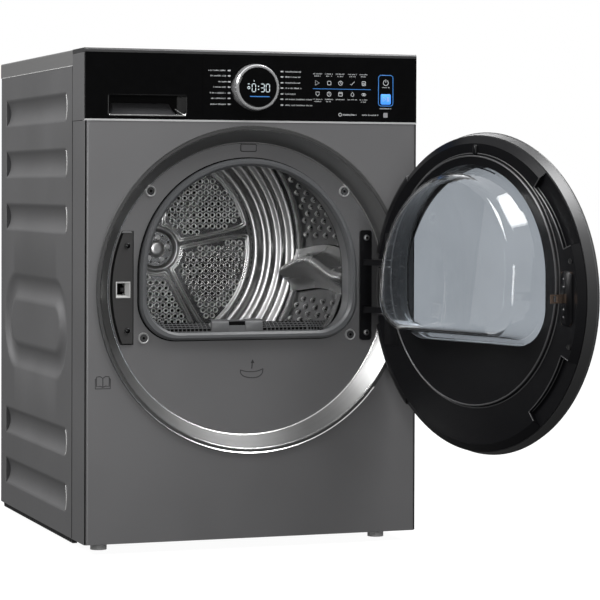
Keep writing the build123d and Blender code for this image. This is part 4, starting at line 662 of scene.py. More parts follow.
prints = []
lamps = []
for z, start, end in zip(LINES, LEFT_STARTS, RIGHT_ENDS):
    prints.append(words(start, -51, z, 2.3))
    prints.append(words(55, end, z, 2.3))
    for x in LAMP_COLUMNS:
        lamps.append(printed(rounded(x - 2.6, x + 2.6, z - 1.1, z + 1.1, 1.0)))
for x in KEYS:
    wide = draw.choice((6.0, 7.5, 8.5))
    prints.append(words(x - wide, x + wide, 808.5, 1.9))
    prints.append(words(x - wide * 0.7, x + wide * 0.7, 804.8, 1.9))
    prints.append(words(x - wide, x + wide, 765.0, 1.9))
    if x in KEYS[:2] + KEYS[4:]:
        prints.append(words(x - wide * 0.7, x + wide * 0.8, 761.3, 1.9))
prints.append(words(160, 186, 739, 3.0))
prints.append(words(196, 226, 739, 2.4))
prints.append(words(229, 251, 750.5, 2.2))
prints.append(words(233, 247, 787.0, 1.9))
add_mark("panel_print", prints, mark_white, smooth=False)

icons = [
    stroke([(110, 789), (110, 797), (117, 793)], True),
    stroke(rounded(132, 138.4, 789.8, 796.2, 1.5, 3), True),
    stroke(circle(156, 793, 3.6), True),
    stroke([(156, 795.4), (156, 793), (157.8, 792.0)]),
    stroke([(174, 791.5), (176.5, 790), (179, 793.5), (182, 796)]),
    stroke(rounded(195.8, 202.2, 789.5, 796.5, 1.2, 3), True),
    stroke(circle(199, 792.4, 1.8, 14), True),
    stroke([(110.6, 777.3), (117.4, 777.3), (116.8, 773), (114, 770.4), (111.2, 773)], True),
    stroke(circle(135, 774, 3.6), True),
    stroke([(135, 776.4), (135, 774), (136.9, 774)]),
    stroke(rounded(152.6, 159.4, 770.8, 777.4, 1.2, 3), True),
    stroke([(152.6, 775.2), (159.4, 775.2)]),
    stroke([(178, 778), (180.6, 774.2), (180.2, 771.6), (178, 770.6), (175.8, 771.6), (175.4, 774.2)], True),
    stroke([(195, 774), (197, 776), (201, 776), (203, 774), (201, 772), (197, 772)], True),
    stroke(circle(199, 774, 1.1, 10), True),
    stroke(circle(240, 795, 4.6, 26, 118, 304), False, 0.6),
    stroke([(240, 795.5), (240, 801)], False, 0.6),
    stroke(circle(155.5, 739, 2.6), True),
]
add_mark("panel_icons", icons, mark_white)
add_mark("row_lamps", lamps, mark_white, smooth=False)
sensor = [printed(rounded(235.5, 243.5, 735, 743, 1.2))]
add_mark("sensor_square", sensor, mark_grey, smooth=False)
blue_lines = [
    printed(rounded(105, 212, 782.4, 783.3, 0.4, 2)),
    stroke(rounded(226.4, 253.4, 755, 808, 5.0, 6), True, 0.6),
]
add_mark("panel_blue_lines", blue_lines, mark_blue)
start_key = [plate(rounded(230.6, 249.2, 757.6, 775.4, 2.2), 0.05, -0.35, 0.3)]
add_mark("start_key", start_key, key_blue)
start_sign = [stroke([(234.8, 762.6), (234.8, 770.4), (240.2, 766.5)], True, 0.55, -0.4)]
for x in (242.2, 244.8):
    start_sign.append(plate(block(x, x + 1.1, 762.6, 770.4), -0.3, -0.6))
add_mark("start_sign", start_sign, mark_white)

# Time on the display: segment digits over a blue bar
FACE = -14.0
SEGMENTS = {"0": "abcdef", "3": "abcdg"}
DIGIT_WIDE = 6.4
DIGIT_TALL = 13.2
DIGIT_Z = 782
BAR = 1.0
BAR_GAP = 0.55


def lit(outline):
    return plate(outline, FACE + 0.1, FACE - 0.25)


def digit(sign, x, z):
    """A figure of straight bars with pointed ends."""
    half = DIGIT_WIDE / 2
    tall = DIGIT_TALL / 2
    ends = {
        "a": ((-half, tall), (half, tall)), "b": ((half, tall), (half, 0)), "c": ((half, 0), (half, -tall)),
        "d": ((-half, -tall), (half, -tall)), "e": ((-half, -tall), (-half, 0)),
        "f": ((-half, 0), (-half, tall)), "g": ((-half, 0), (half, 0)),
    }
    bars = []
    for name in SEGMENTS[sign]:
        first, last = (Vector((x + px, z + pz)) for px, pz in ends[name])
        ahead = (last - first).normalized()
        first += ahead * BAR_GAP
        last -= ahead * BAR_GAP
        tip = ahead * BAR / 2
        across = Vector((-tip.y, tip.x))
        ring = (first + tip - across, last - tip - across, last,
                last - tip + across, first + tip + across, first)
        bars.append(lit([tuple(corner) for corner in ring]))
    return join(*bars)


clock = [digit(sign, x, DIGIT_Z) for sign, x in (("0", -6.5), ("3", 9.0), ("0", 18.5))]
for z in (779.4, 784.6):
    clock.append(lit(rounded(0.9, 2.6, z - 0.85, z + 0.85, 0.4, 3)))
add_mark("display_digits", clock, digit_white, smooth=False)
small_signs = [
    tube(at_depth(circle(-15.5, 782.0, 2.0, 18), FACE), 0.45, 6, True, 0.6),
    tube(at_depth(circle(-15.5, 787.0, 1.7, 16, 30, 120), FACE), 0.45, 6, False, 0.6),
    tube(at_depth([(-7.0, 793.6), (-5.0, 793.6)], FACE), 0.5, 6, False, 0.6),
]
add_mark("display_signs", small_signs, digit_white)
display_bar = [lit(rounded(-13.5, 21.5, 766.6, 768.0, 0.6, 3))]
add_mark("display_bar", display_bar, mark_blue)

# Painted cheeks at the ends of the control panel
CHEEK_DEPTHS = (5.2, 79.6)
CHEEK_HEIGHTS = (724.6, 837.4)
cheeks = []
for side in (-1, 1):
    points = []
    for x, inset in ((SIDE_X - 0.1, 0.0), (SIDE_X + 0.2, 0.0), (SIDE_X + 0.4, 0.4)):
        ring = block(CHEEK_DEPTHS[0] + inset, CHEEK_DEPTHS[1] - inset,
                     CHEEK_HEIGHTS[0] + inset, CHEEK_HEIGHTS[1] - inset)
        points += [(side * x, depth, z) for depth, z in ring]
    faces = band(3, 4, True) + [(8, 9, 10, 11), (3, 2, 1, 0)]
    cheeks.append((points, [face[::side] for face in faces]))
add_piece("fascia_cheeks", cheeks, "cabinet", paint, smooth=False)

# Water container: sloped flap in the finger pocket, the pocket's rim, and polished beads along the lip under
# it and along the flap's edge, painted highlights
FLAP_FOOT = 735.0
FLAP_CURVE = smooth_curve(((2.0, 735.2), (6.0, 736.6), (12.0, 742.0), (18.0, 748.8), (22.5, 753.2),
                           (25.0, 754.6)), 4)
FLAP_STATIONS = ((-252.0, 0.25), (-246.0, 1.0), (-196.0, 1.0), (-146.0, 1.0), (-137.0, 0.25))
flap = []
for x, share in FLAP_STATIONS:
    flap += [(x, depth, FLAP_FOOT + (z - FLAP_FOOT) * share) for depth, z in FLAP_CURVE]
flap_faces = band(len(FLAP_STATIONS), len(FLAP_CURVE))
add_piece("pocket_flap", [(flap, flap_faces)], "water_container", pocket_black)
pocket_rim = tube(at_depth(rounded(-257.4, -120.6, 732.4, 767.4, 3.0), 0.1), 0.9, 8, True, 0.7)
add_piece("pocket_rim", [pocket_rim], "water_container", gloss_black)
lip = smooth_curve([(-256.0, 735.5), (-254.5, 733.9), (-250.0, 733.6), (-190.0, 733.6), (-130.0, 733.6),
                    (-123.8, 734.4), (-122.6, 737.0)], 5)
fold = smooth_curve([(-123.0, 0.5, 735.0), (-127.0, 3.0, 736.6), (-132.5, 7.0, 740.0),
                     (-138.0, 12.0, 745.0)], 5)
# Polished beads on the lip and the flap's edge stand in for their highlights: painted highlights
pocket_highlight_lines = [tube(at_depth(lip, 0.0), 1.5, 8, False, 0.8), tube(fold, 0.7)]
add_piece("pocket_lip_highlights", pocket_highlight_lines, "water_container", polished_highlight)

# Ring: lip in a darker copy of the cabinet paint, painted shade, and polished beads at its floor, mouth and
# lip, brighter than the ring, painted highlights; those in front stay clear of the hinge side
LIP_COVER = ((271.4, -2.6), (272.0, -3.15), (277.6, -3.15), (278.15, -2.6), (278.15, 0.0))
FLOOR_BEAD = ((251.0, 27.6), (249.4, 28.2), (248.5, 29.0), (248.7, 30.0))
FRONT_BEADS = (
    ((270.4, 0.6), (269.6, 0.0), (269.5, -0.9), (270.2, -1.4)),
    ((271.5, -1.8), (271.0, -2.4), (271.0, -2.9), (271.3, -3.2)),
    ((276.4, -3.1), (277.0, -3.5), (277.9, -4.3)),
)
BEADS_START = 38.0
BEADS_SWEEP = 284.0
add_piece("ring_lip", [lathe(LIP_COVER, RECESS_AXIS, 180)], "cabinet", lip_paint_shaded, sharp=25)
ring_edge_highlights = [lathe(bead, RECESS_AXIS, 160, False, BEADS_START, BEADS_SWEEP) for bead in FRONT_BEADS]
ring_edge_highlights.append(lathe(FLOOR_BEAD, RECESS_AXIS, 180))
add_piece("ring_edge_highlights", ring_edge_highlights, "cabinet", polished_highlight, sharp=80)

# Recess: dimples round the floor screws, hinge screws, blank plate at the top, dark seam round the collar
DIMPLE = ((6.55, 28.6), (8.4, 26.9), (8.8, 26.9), (9.6, 30.0))
HINGE_HEAD = ((0.01, 23.9), (3.0, 24.0), (4.6, 24.3), (5.3, 25.2), (5.3, 27.0))
dimples = [lathe(DIMPLE, place, 32) for place in FLOOR_SCREWS]
add_piece("floor_dimples", dimples, "cabinet", fascia_trim, sharp=30)
hinge_heads = [lathe(HINGE_HEAD, place, 28) for place in HINGE_SCREWS]
add_piece("hinge_screw_heads", hinge_heads, "cabinet", screw_steel)
# Black hexagons on the screw heads: painted shade in their sockets
socket_painted_shades = []
for places, front in ((FLOOR_SCREWS, 27.45), (HINGE_SCREWS, 23.85)):
    socket_painted_shades += [plate(circle(x, z, 2.4, 6), front + 0.05, front - 0.12) for x, z in places]
add_piece("socket_painted_shades", socket_painted_shades, "cabinet", seam_black, smooth=False)
blank_edge = stroke(rounded(-14.5, 13.5, 675.3, 687.3, 2.0), True, 0.8, RECESS_DEPTH)
add_piece("blank_plate_edge", [blank_edge], "cabinet", mark_dark)
blank = plate(rounded(-14, 13, 675.8, 686.8, 2.0), RECESS_DEPTH, RECESS_DEPTH - 0.7, 0.4)
add_piece("blank_plate", [blank], "cabinet", paint)
collar_seam = tube(at_depth(arch(196.6, 353.9, 66.3), 29.6), 1.5, 8, True, 0.7)
add_piece("collar_seam", [collar_seam], "cabinet", seam_black)

# Pictures pressed into the panels: an open book, and a bowl with an arrow
book = [
    stroke([(-279, 278), (-279, 294), (-277, 295), (-277, 297.5), (-271, 298.5), (-266, 295.5), (-261, 298.5),
            (-255, 297.5), (-255, 295), (-253, 294), (-253, 278)], True, 0.75, 0.0),
    stroke([(-266, 295.5), (-266, 281)], False, 0.7, 0.0),
    stroke([(-277, 295), (-277, 281.5), (-271, 282.5), (-266, 280.5), (-261, 282.5), (-255, 281.5),
            (-255, 295)], False, 0.7, 0.0),
]
add_piece("book_sign", book, "cabinet", mark_dark)
bowl_rim = smooth_curve([(-14, 301.5), (-4, 299), (7, 298.3), (18, 299.5), (27, 303)], 5)
bowl_under = smooth_curve([(27, 303), (25, 294.5), (17, 289), (5, 288), (-7, 290.5), (-13, 295.5),
                           (-14, 301.5)], 5)
bowl_and_arrow = [
    stroke(bowl_rim + bowl_under[1:-1], True, 0.8, RECESS_DEPTH),
    stroke([(6.5, 303.5), (7.8, 315.5)], False, 1.0, RECESS_DEPTH),
    plate([(4.4, 312.9), (11.2, 312.9), (8.0, 319.5)], RECESS_DEPTH, RECESS_DEPTH - 0.5),
]
add_piece("filter_sign", bowl_and_arrow, "cabinet", mark_dark)

# Filter: slanted grille with a black sheet close behind it, painted shade, carried on into the rounded
# corners of the opening
GRILLE = ((89.0, 352.0), (89.0, 370.4), (107.0, 380.0))
GRILLE_FOLD = GRILLE[1][1]
GRILLE_TOP = GRILLE[2][1]
GRILLE_INNER = 48
GRILLE_HALF = 129.0
GRILLE_BARS = 36
GRILLE_WIRE = 0.85
SHADE_SHEET_GAP = (0.6, -0.4)
SILL_CORNER_X = 122.4
SILL_CORNER_Z = 424.6
SILL_RADIUS = 66.2
SILL_START = GRILLE_HALF + 2
SILL_END = 170.0
SILL_GAPS = 7
SILL_ROWS = (364.2, 370.4, 373.6, 376.8, 380.0)


def grille_depth(z):
    """Depth of the grille's face at a height: upright, then slanted."""
    slope = (GRILLE[2][0] - GRILLE[1][0]) / (GRILLE_TOP - GRILLE_FOLD)
    return GRILLE[1][0] + slope * max(0.0, z - GRILLE_FOLD)


def sill_low(x):
    """Height of the opening's edge at the rounded corner."""
    return SILL_CORNER_Z - math.sqrt(SILL_RADIUS ** 2 - (x - SILL_CORNER_X) ** 2)


def wire(path):
    return tube(path, GRILLE_WIRE, 6)


grille, grille_shade_sheets = [], []
for index in range(GRILLE_BARS):
    x = -GRILLE_HALF + 2 * GRILLE_HALF * index / (GRILLE_BARS - 1)
    if abs(x) > GRILLE_INNER:
        grille.append(wire([(x, depth, z) for depth, z in GRILLE]))
for low, high in zip(GRILLE, GRILLE[1:]):
    for t in (0, 1 / 3, 2 / 3):
        depth = low[0] + (high[0] - low[0]) * t
        z = low[1] + (high[1] - low[1]) * t
        for side in (-1, 1):
            grille.append(wire([(side * GRILLE_INNER, depth, z), (side * GRILLE_HALF, depth, z)]))
for side in (-1, 1):
    points = [(side * x, depth + SHADE_SHEET_GAP[0], z + SHADE_SHEET_GAP[1])
              for depth, z in GRILLE for x in (GRILLE_INNER, GRILLE_HALF)]
    grille_shade_sheets.append((points, band(3, 2)))
add_piece("filter_grille", grille, "filter", filter_grey)
# Black sheets behind the grilles stand in for the shade beyond them: painted shade
add_piece("filter_shade_sheet", grille_shade_sheets, "filter", seam_black, smooth=False)

sill, sill_shade_sheets = [], []
sill_stations = [SILL_START + (SILL_END - SILL_START) * i / SILL_GAPS for i in range(SILL_GAPS + 1)]
for side in (-1, 1):
    points = []
    for x in sill_stations:
        low = sill_low(x)
        rises = [low, GRILLE_FOLD, GRILLE_TOP] if low < GRILLE_FOLD else [low, GRILLE_TOP]
        sill.append(wire([(side * x, grille_depth(z), z) for z in rises]))
        for z in (low, max(GRILLE_FOLD, low), GRILLE_TOP):
            points.append((side * x, grille_depth(z) + SHADE_SHEET_GAP[0], z + SHADE_SHEET_GAP[1]))
    for z in SILL_ROWS:
        far = SILL_CORNER_X + math.sqrt(SILL_RADIUS ** 2 - (SILL_CORNER_Z - z) ** 2)
        sill.append(wire([(side * SILL_START, grille_depth(z), z), (side * far, grille_depth(z), z)]))
    sill_shade_sheets.append((points, band(SILL_GAPS + 1, 3)))
add_piece("sill_grille", sill, "cabinet", filter_grey)
add_piece("sill_shade_sheets", sill_shade_sheets, "cabinet", seam_black, smooth=False)

# Filter: two flaps and a slot on the handle, the slot a black plate, painted shade; weave and ribs of the
# screen below
FLAP_SECTION = smooth_curve(((88.5, 360.0), (87.5, 370), (88.6, 379), (93.0, 384.2), (101.0, 385.2)), 4)
WEAVE_PITCH = 4.0
WEAVE_HALF = 0.4
WEAVE_DEPTHS = (99.5, 95.5)
RIB_DEPTHS = (103.0, 92.5)
flaps = []
for x0, x1 in ((-47, -15), (15, 47)):
    points = []
    for x, inset in ((x0, 0.8), (x0 + 1.2, 0.0), (x1 - 1.2, 0.0), (x1, 0.8)):
        points += [(x, depth + inset, z - inset) for depth, z in FLAP_SECTION]
    flaps.append((points, band(4, len(FLAP_SECTION))))
flaps.append(plate(rounded(-15.5, 15.5, 352, 374.6, 1.5), 90.0, 88.6, 0.5))
add_piece("filter_flaps", flaps, "filter", filter_grey)
# The slot is a black plate in the handle: painted shade in its opening
slot = plate(rounded(-14.8, 14.8, 372.0, 381.5, 1.0), 91.0, 89.6)
add_piece("filter_slot_shade", [slot], "filter", seam_black, smooth=False)
wires = []
for index in range(61):
    x = -120.0 + WEAVE_PITCH * index
    wires.append(plate(rounded(x - WEAVE_HALF, x + WEAVE_HALF, 217.0, 361.0, 0.1, 1), *WEAVE_DEPTHS))
for index in range(36):
    z = 219.0 + WEAVE_PITCH * index
    wires.append(plate(rounded(-121.5, 121.5, z - WEAVE_HALF, z + WEAVE_HALF, 0.1, 1), *WEAVE_DEPTHS))
add_piece("filter_weave", wires, "filter", filter_grey, smooth=False)
screen_ribs = []
for x in (-81.0, -40.5, 0.0, 40.5, 81.0):
    screen_ribs.append(plate(rounded(x - 1.8, x + 1.8, 214.0, 352.0, 1.0), *RIB_DEPTHS, 0.6))
screen_ribs.append(plate(rounded(-124.0, 124.0, 286.0, 289.6, 1.0), *RIB_DEPTHS, 0.6))
add_piece("filter_ribs", screen_ribs, "filter", filter_grey, sharp=50)

# Latch plate: dark gap along its arc and dark seams on its other edges, these painted shadow; bright upper
# edge, a painted highlight; round screw heads, funnel and throat, the throat closed by a black plate, painted
# shade
LATCH_GAP = ((246.2, 27.4), (246.0, 26.8), (242.4, 26.8), (242.2, 27.2))
LATCH_HEAD = ((0.01, 23.7), (2.5, 23.9), (4.3, 24.5), (5.3, 25.8), (5.3, 27.0))
FUNNEL = (
    ((-236.6, -211.4, 427.4, 454.6), 26.9), ((-236.6, -211.4, 427.4, 454.6), 25.4),
    ((-235.0, -212.6, 429.0, 453.2), 25.4), ((-233.4, -219.4, 431.6, 451.4), 32.0),
)
above = math.degrees(math.asin((PLATE_TOP - RECESS_Z) / PLATE_ARC))
below = math.degrees(math.asin((RECESS_Z - PLATE_FOOT) / PLATE_ARC))
# Dark lines: a gap along the arc, and painted shadow along the plate's straight edge and foot
latch_gap_and_shadow = [
    lathe(LATCH_GAP, RECESS_AXIS, 40, False, 180.0 - above, above + below),
    tube([(PLATE_EDGE, 26.9, PLATE_FOOT), (PLATE_EDGE, 26.9, PLATE_TOP)], 0.6),
    tube([(-226.5, 26.9, PLATE_FOOT + 0.4), (PLATE_EDGE, 26.9, PLATE_FOOT + 0.4)], 0.9),
]
add_piece("latch_gap_and_shadow", latch_gap_and_shadow, "cabinet", seam_black)
# A silver strip on the plate's upper edge: painted highlight
bevel_outline = [(-226.0, PLATE_TOP - 3.4), (-208.0, PLATE_TOP - 3.4), (-210.0, PLATE_TOP - 0.4),
                 (-225.0, PLATE_TOP - 0.4)]
latch_edge_highlight = plate(bevel_outline, 27.0, 26.3, 0.6)
add_piece("latch_edge_highlight", [latch_edge_highlight], "cabinet", silver_edge_highlight, sharp=20)
latch_heads = [lathe(LATCH_HEAD, place, 28) for place in LATCH_SCREWS]
add_piece("latch_screw_heads", latch_heads, "cabinet", gloss_black)
funnel = []
for edges, depth in FUNNEL:
    funnel += at_depth(block(*edges), depth)
funnel_faces = band(len(FUNNEL), 4, True)
add_piece("latch_funnel", [(funnel, funnel_faces)], "cabinet", latch_white, smooth=False)
# A black plate deep in the throat: painted shade
throat = plate(rounded(-232.0, -216.0, 432.0, 450.0, 1.5), 60.0, 58.0)
add_piece("latch_throat", [throat], "cabinet", seam_black, smooth=False)

# Door: latch bar with small screws, locator nub, cover plates beside the hinge
PIP = ((0.01, DOOR_INNER + 4.2), (1.6, DOOR_INNER + 3.9), (2.3, DOOR_INNER + 3.1))
COVER_HEIGHTS = ((344.0, 392.0), (411.5, 474.5), (493.5, 536.0))
bar = plate(rounded(-237.0, -211.0, 397.5, 484.5, 10.0, 8), DOOR_INNER, DOOR_INNER + 3.2, 1.2)
add_piece("latch_bar", [bar], "door", door_black, sharp=60)
pips = [lathe(PIP, (-219, z), 14) for z in (471, 459, 423, 411)]
add_piece("latch_bar_pips", pips, "door", screw_dark)
nub = plate(rounded(-12.5, -3.5, 667.5, 685.0, 4.0, 6), DOOR_INNER, DOOR_INNER + 4.5, 1.6)
add_piece("locator_nub", [nub], "door", door_black, sharp=60)
covers = []
for z0, z1 in COVER_HEIGHTS:
    reach = math.sqrt(DOOR_FRAME ** 2 - max(abs(z0 - DOOR_Z), abs(z1 - DOOR_Z)) ** 2)
    covers.append(plate(rounded(190.0, min(reach, 224.0), z0, z1, 3.0), DOOR_INNER, DOOR_INNER + 1.6, 0.6))
add_piece("hinge_covers", covers, "door", door_black, sharp=60)

# Door: light lines of the raised ring and the finger pockets, lips on the hinge side, edge line of the rim;
# the light lines are painted highlights on the black door's edges
RAISED_RING_Z = 462.0
GRIPS = ((130.0, 30.0), (203.0, 30.0))
SIDE_LIP = ((247.0, 12.0), (254.0, 10.6), (260.0, 8.0), (262.4, 4.5), (262.4, -2.0), (256.0, -2.0),
            (250.0, 8.0))
ring_lines = []
for radius, rise, thick in ((204.2, 5.0, 1.5), (208.6, 0.4, 1.0)):
    ring = circle(0, RAISED_RING_Z, radius, 128)
    ring_lines.append(tube(at_depth(ring, DOOR_INNER + rise), thick, 8, True))
add_piece("ring_line", ring_lines, "door", door_edge_highlight)
grip_lines = []
for start, sweep in GRIPS:
    inner = circle(0, DOOR_Z, 229.0, 24, start, sweep)
    first, last = circle(0, DOOR_Z, DOOR_FRAME + 0.4, 1, start, sweep)
    grip_lines.append(tube(at_depth([first] + inner + [last], DOOR_INNER), 0.9))
    grip_lines.append(tube(at_depth(inner, DOOR_INNER - 7.6), 0.7))
add_piece("grip_lines", grip_lines, "door", door_edge_highlight)
side_lips = [lathe(SIDE_LIP, (0, DOOR_Z), 24, True, start, 34.0) for start in (-48.0, 14.0)]
add_piece("hinge_side_lips", side_lips, "door", door_black)
rim_edge = tube(at_depth(circle(0, DOOR_Z, 264.6, 128), -15.0), 0.9, 8, True)
add_piece("rim_edge", [rim_edge], "door", door_edge_highlight)

# Side panels: thin skins with round scoops and an oval channel pressed into them
SKIN = 0.8
SCOOP_DEPTH = 8.0
GROOVE_MIDDLE = 342.0
GROOVE_HALF = 217.5
GROOVE_HEIGHTS = (750.0, 655.0, 558.0, 178.0, 83.0)
GROOVE_WIDE = 24.0
OVAL_Z = 367.5
OVAL_RUN = 139.5
OVAL_RADIUS = 63.5
OVAL_WIDE = 23.0


def scoop(offset, half):
    """Depth of a round scoop at a distance from its middle line."""
    if abs(offset) >= half:
        return 0.0
    radius = (half ** 2 + SCOOP_DEPTH ** 2) / (2 * SCOOP_DEPTH)
    return math.sqrt(radius ** 2 - offset ** 2) - (radius - SCOOP_DEPTH)


def pressed(depth, z):
    """How far the side panel is pressed in at a point."""
    run = abs(depth - GROOVE_MIDDLE)
    end = min(1.0, max(0.0, (GROOVE_HALF + 1.5 - run) / 4.0))
    grooves = max(scoop(z - height, GROOVE_WIDE) for height in GROOVE_HEIGHTS)
    from_oval = math.hypot(max(0.0, run - OVAL_RUN), z - OVAL_Z) - OVAL_RADIUS
    return max(end * end * (3 - 2 * end) * grooves, scoop(from_oval, OVAL_WIDE))


def spaced(values, gap=0.4):
    """The values in order, without those too close to the one before."""
    kept = []
    for value in sorted(values):
        if not kept or value - kept[-1] > gap:
            kept.append(value)
    return kept


def side_skin(side, low, high):
    """A closed sheet between two (depth, Z) corners, pressed in by the grooves."""
    runs = [18.0 * i for i in range(8)] + [132.0 + 6.0 * i for i in range(17)]
    runs += [GROOVE_HALF + step for step in (14.0, 3.0, 1.5, 0.5, -0.5, -1.5, -2.5)]
    columns = spaced([low[0], high[0]] + [GROOVE_MIDDLE + sign * run for run in runs for sign in (-1, 1)])
    rows = [low[1], high[1]] + [OVAL_Z + 89.0 * k / 18 for k in range(-18, 19)]
    for height in GROOVE_HEIGHTS:
        rows += [height + GROOVE_WIDE * k / 7 for k in range(-7, 8)]
        rows += [height - GROOVE_WIDE - 2.5, height + GROOVE_WIDE + 2.5]
    rows = spaced(rows)
    points = []
    for inset in (0.0, SKIN):
        for depth in columns:
            points += [(side * (SIDE_X - inset - pressed(depth, z)), depth, z) for z in rows]
    wide, tall = len(columns), len(rows)
    back = wide * tall
    outer = band(wide, tall)
    inner = [tuple(back + corner for corner in reversed(quad)) for quad in outer]
    border = [i * tall for i in range(wide)] + [(wide - 1) * tall + j for j in range(1, tall)]
    border += [i * tall + tall - 1 for i in range(wide - 2, -1, -1)] + list(range(tall - 2, 0, -1))
    edges = [(a, b, back + b, back + a) for a, b in zip(border, border[1:] + border[:1])]
    return points, outer + inner + edges


for side, name in ((-1, "left_side"), (1, "right_side")):
    corners = [(corner[1] * 1000 - FRONT_Y, corner[2] * 1000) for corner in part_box(name + "_panel")]
    sheet = side_skin(side, *corners)
    skin = add_piece(name + "_skin", [sheet], "cabinet", paint, sharp=35)
    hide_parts(name + "_panel")

# Ends of the scoops: a dark rear wall, painted shade, and a white rounded lip at the front, a painted
# highlight
scoop_wall_shades, scoop_lip_highlights = [], []
rises = [k / 8 * GROOVE_WIDE for k in range(-8, 9)]
rear_wall = GROOVE_MIDDLE + GROOVE_HALF - 2.4
front_lip = GROOVE_MIDDLE - GROOVE_HALF - 1.0
for side in (-1, 1):
    for height in GROOVE_HEIGHTS:
        deep = [(side * (SIDE_X - 0.1 - scoop(rise, GROOVE_WIDE)), height + rise) for rise in rises]
        flush = [(side * (SIDE_X - 0.1), height + rise) for rise in reversed(rises[1:-1])]
        scoop_wall_shades.append(plate(deep + flush, rear_wall, rear_wall - 0.5))
        bow = [(side * SIDE_X, front_lip - scoop(rise, GROOVE_WIDE), height + rise) for rise in rises[1:-1]]
        scoop_lip_highlights.append(tube(bow, 0.9))
add_piece("scoop_wall_shades", scoop_wall_shades, "cabinet", scoop_painted_shade, smooth=False)
add_piece("scoop_lip_highlights", scoop_lip_highlights, "cabinet", latch_white)

# Cabinet edges: seams beside the side panels and on the front corners, ribs below, bright lines under the lid
# as white beads, painted highlights
RIB_COUNT = 36
RIB_PITCH = 14
RIB_LONG = 9
RIB_SECTION = ((285.0, 8.8), (293.0, 8.8), (294.5, 18.6), (285.0, 18.6))
seams, base_ribs, lid_highlight_lines = [], [], []
for side in (-1, 1):
    seams.append(tube([(side * SIDE_X, 80.2, PANEL_FOOT), (side * SIDE_X, 80.2, 817.0)], 0.7))
    seams.append(tube([(side * 296.4, 1.1, PANEL_FOOT), (side * 296.4, 1.1, 723.6)], 1.0))
    rib = [(side * x, z) for x, z in RIB_SECTION][::side]
    for index in range(RIB_COUNT):
        depth = 92 + RIB_PITCH * index
        base_ribs.append(plate(rib, depth + RIB_LONG, depth))
    # White beads under the lid's edge: painted highlights
    lid_highlight_lines.append(tube([(side * SIDE_X, 81, LID_LINE_Z), (side * SIDE_X, 600, LID_LINE_Z)], 0.7))
add_piece("panel_seams", seams, "cabinet", seam_black)
add_piece("base_ribs", base_ribs, "cabinet", base_black, smooth=False)
add_piece("lid_highlight_lines", lid_highlight_lines, "cabinet", latch_white)

# Rear: rings and spokes pressed into the duct cover
duct_ribs = []
for radius in (70.0, 120.0, 170.0):
    duct_ribs.append(tube(at_depth(circle(*DRUM_AXIS, radius, 72), DUCT_FACE), 3.0, 8, True, 0.6))
for ends in zip(circle(*DRUM_AXIS, 75, 12), circle(*DRUM_AXIS, 165, 12)):
    duct_ribs.append(tube(at_depth(ends, DUCT_FACE), 2.6, 8, False, 0.6))
add_piece("duct_ribs", duct_ribs, "cabinet", base_black)

# Floor, unseen by the part itself so that it throws no light back
FLOOR = 14.0
floor_white = finish("floor_white", (0.12, 0.12, 0.12), 0.9, 3.0, tone=0.01, Specular_IOR_Level=0.0,
                     Emission_Color=(1, 1, 1, 1), Emission_Strength=0.96)
floor_mesh = bpy.data.meshes.new("floor")
floor_corners = [(x, y, 0) for x, y in block(-FLOOR, FLOOR, -FLOOR, FLOOR)]
floor_mesh.from_pydata(floor_corners, [], [(0, 1, 2, 3)])
floor_mesh.materials.append(floor_white)
floor = bpy.data.objects.new("floor", floor_mesh)
bpy.context.scene.collection.objects.link(floor)
floor.visible_diffuse = False
floor.visible_glossy = False
floor.visible_transmission = False


# Lights
def softbox(name, place, target, width, height, power):
    """A rectangular lamp at a place, aimed at a target; metres and watts."""
    lamp = bpy.data.lights.new(name, "AREA")
    lamp.shape = "RECTANGLE"
    lamp.size = width
    lamp.size_y = height
    lamp.energy = power
    holder = bpy.data.objects.new(name, lamp)
    holder.location = place
    aim = Vector(target) - Vector(place)
    holder.rotation_euler = aim.to_track_quat("-Z", "Y").to_euler()
    bpy.context.scene.collection.objects.link(holder)


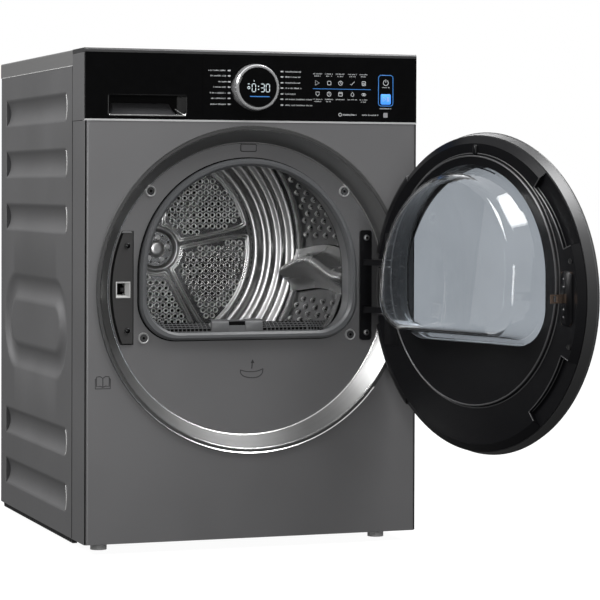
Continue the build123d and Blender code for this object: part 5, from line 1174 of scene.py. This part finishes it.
softbox("key", (-3.0, -0.8, 2.6), (0, -0.2, 0.45), 1.4, 1.4, 104)
softbox("drum_top", (0.0, -0.165, 0.705), (0.0, 0.2, 0.45), 0.26, 0.05, 0.16)
softbox("overhead", (1.5, -1.2, 3.1), (0.05, -0.25, 0.4), 2.2, 1.4, 118)
softbox("front", (-0.9, -4.4, 1.05), (0.0, 0.2, 0.45), 1.3, 1.0, 36)
softbox("low", (-0.35, -3.2, 0.22), (0.05, 0.25, 0.7), 0.9, 0.36, 5.5)
softbox("side", (-3.0, 2.4, 1.6), (-0.3, 0, 0.45), 1.6, 2.2, 14)
softbox("rear", (2.4, 2.6, 2.4), (0.2, 0, 0.5), 2.0, 2.0, 50)

# Studio: a grey dome lights the part, and plain white shows behind it and through its glass
world = bpy.data.worlds.new("studio")
bpy.context.scene.world = world
bpy.context.scene.view_settings.view_transform = "Standard"
world.use_nodes = True
sky = world.node_tree
dome = sky.nodes["Background"]
dome.inputs["Strength"].default_value = 1.0
heading = add_node(sky, "TexCoord")
climb = add_node(sky, "SeparateXYZ")
link(heading.outputs["Generated"], climb, "Vector")
shades = tones(sky, climb.outputs["Z"], (0.10, 0.10, 0.10), (0.75, 0.75, 0.76), (0.05, 0.9))
link(shades, dome, "Color")
white = add_node(sky, "Background", Color=(1, 1, 1, 1), Strength=1.0)
rays = add_node(sky, "LightPath")
either = add_node(sky, "Math", "MAXIMUM")
link(rays.outputs["Is Camera Ray"], either, 0)
link(rays.outputs["Is Transmission Ray"], either, 1)
mix = add_node(sky, "MixShader")
link(either.outputs["Value"], mix, "Fac")
link(dome.outputs["Background"], mix, 1)
link(white.outputs["Background"], mix, 2)
link(mix.outputs["Shader"], sky.nodes["World Output"], "Surface")

# Camera at the photograph's viewing angle; the picture's measures are in pixels
PICTURE = 600
FOCAL = 2399.44
CENTRE = (251.06, 222.18)
CAMERA_AT = (-1.34388, -4.14551, 0.61304)
YAW = math.radians(-19.184)
PITCH = math.radians(90 - 0.822)
ROLL = math.radians(0.177)
camera_data = bpy.data.cameras.new("camera")
camera_data.sensor_width = 36.0
camera_data.lens = FOCAL * camera_data.sensor_width / PICTURE
camera_data.shift_x = (PICTURE / 2 - CENTRE[0]) / PICTURE
camera_data.shift_y = (CENTRE[1] - PICTURE / 2) / PICTURE
camera = bpy.data.objects.new("camera", camera_data)
turns = Matrix.Rotation(YAW, 4, "Z") @ Matrix.Rotation(PITCH, 4, "X") @ Matrix.Rotation(ROLL, 4, "Z")
camera.matrix_world = Matrix.Translation(CAMERA_AT) @ turns
bpy.context.scene.collection.objects.link(camera)
bpy.context.scene.camera = camera
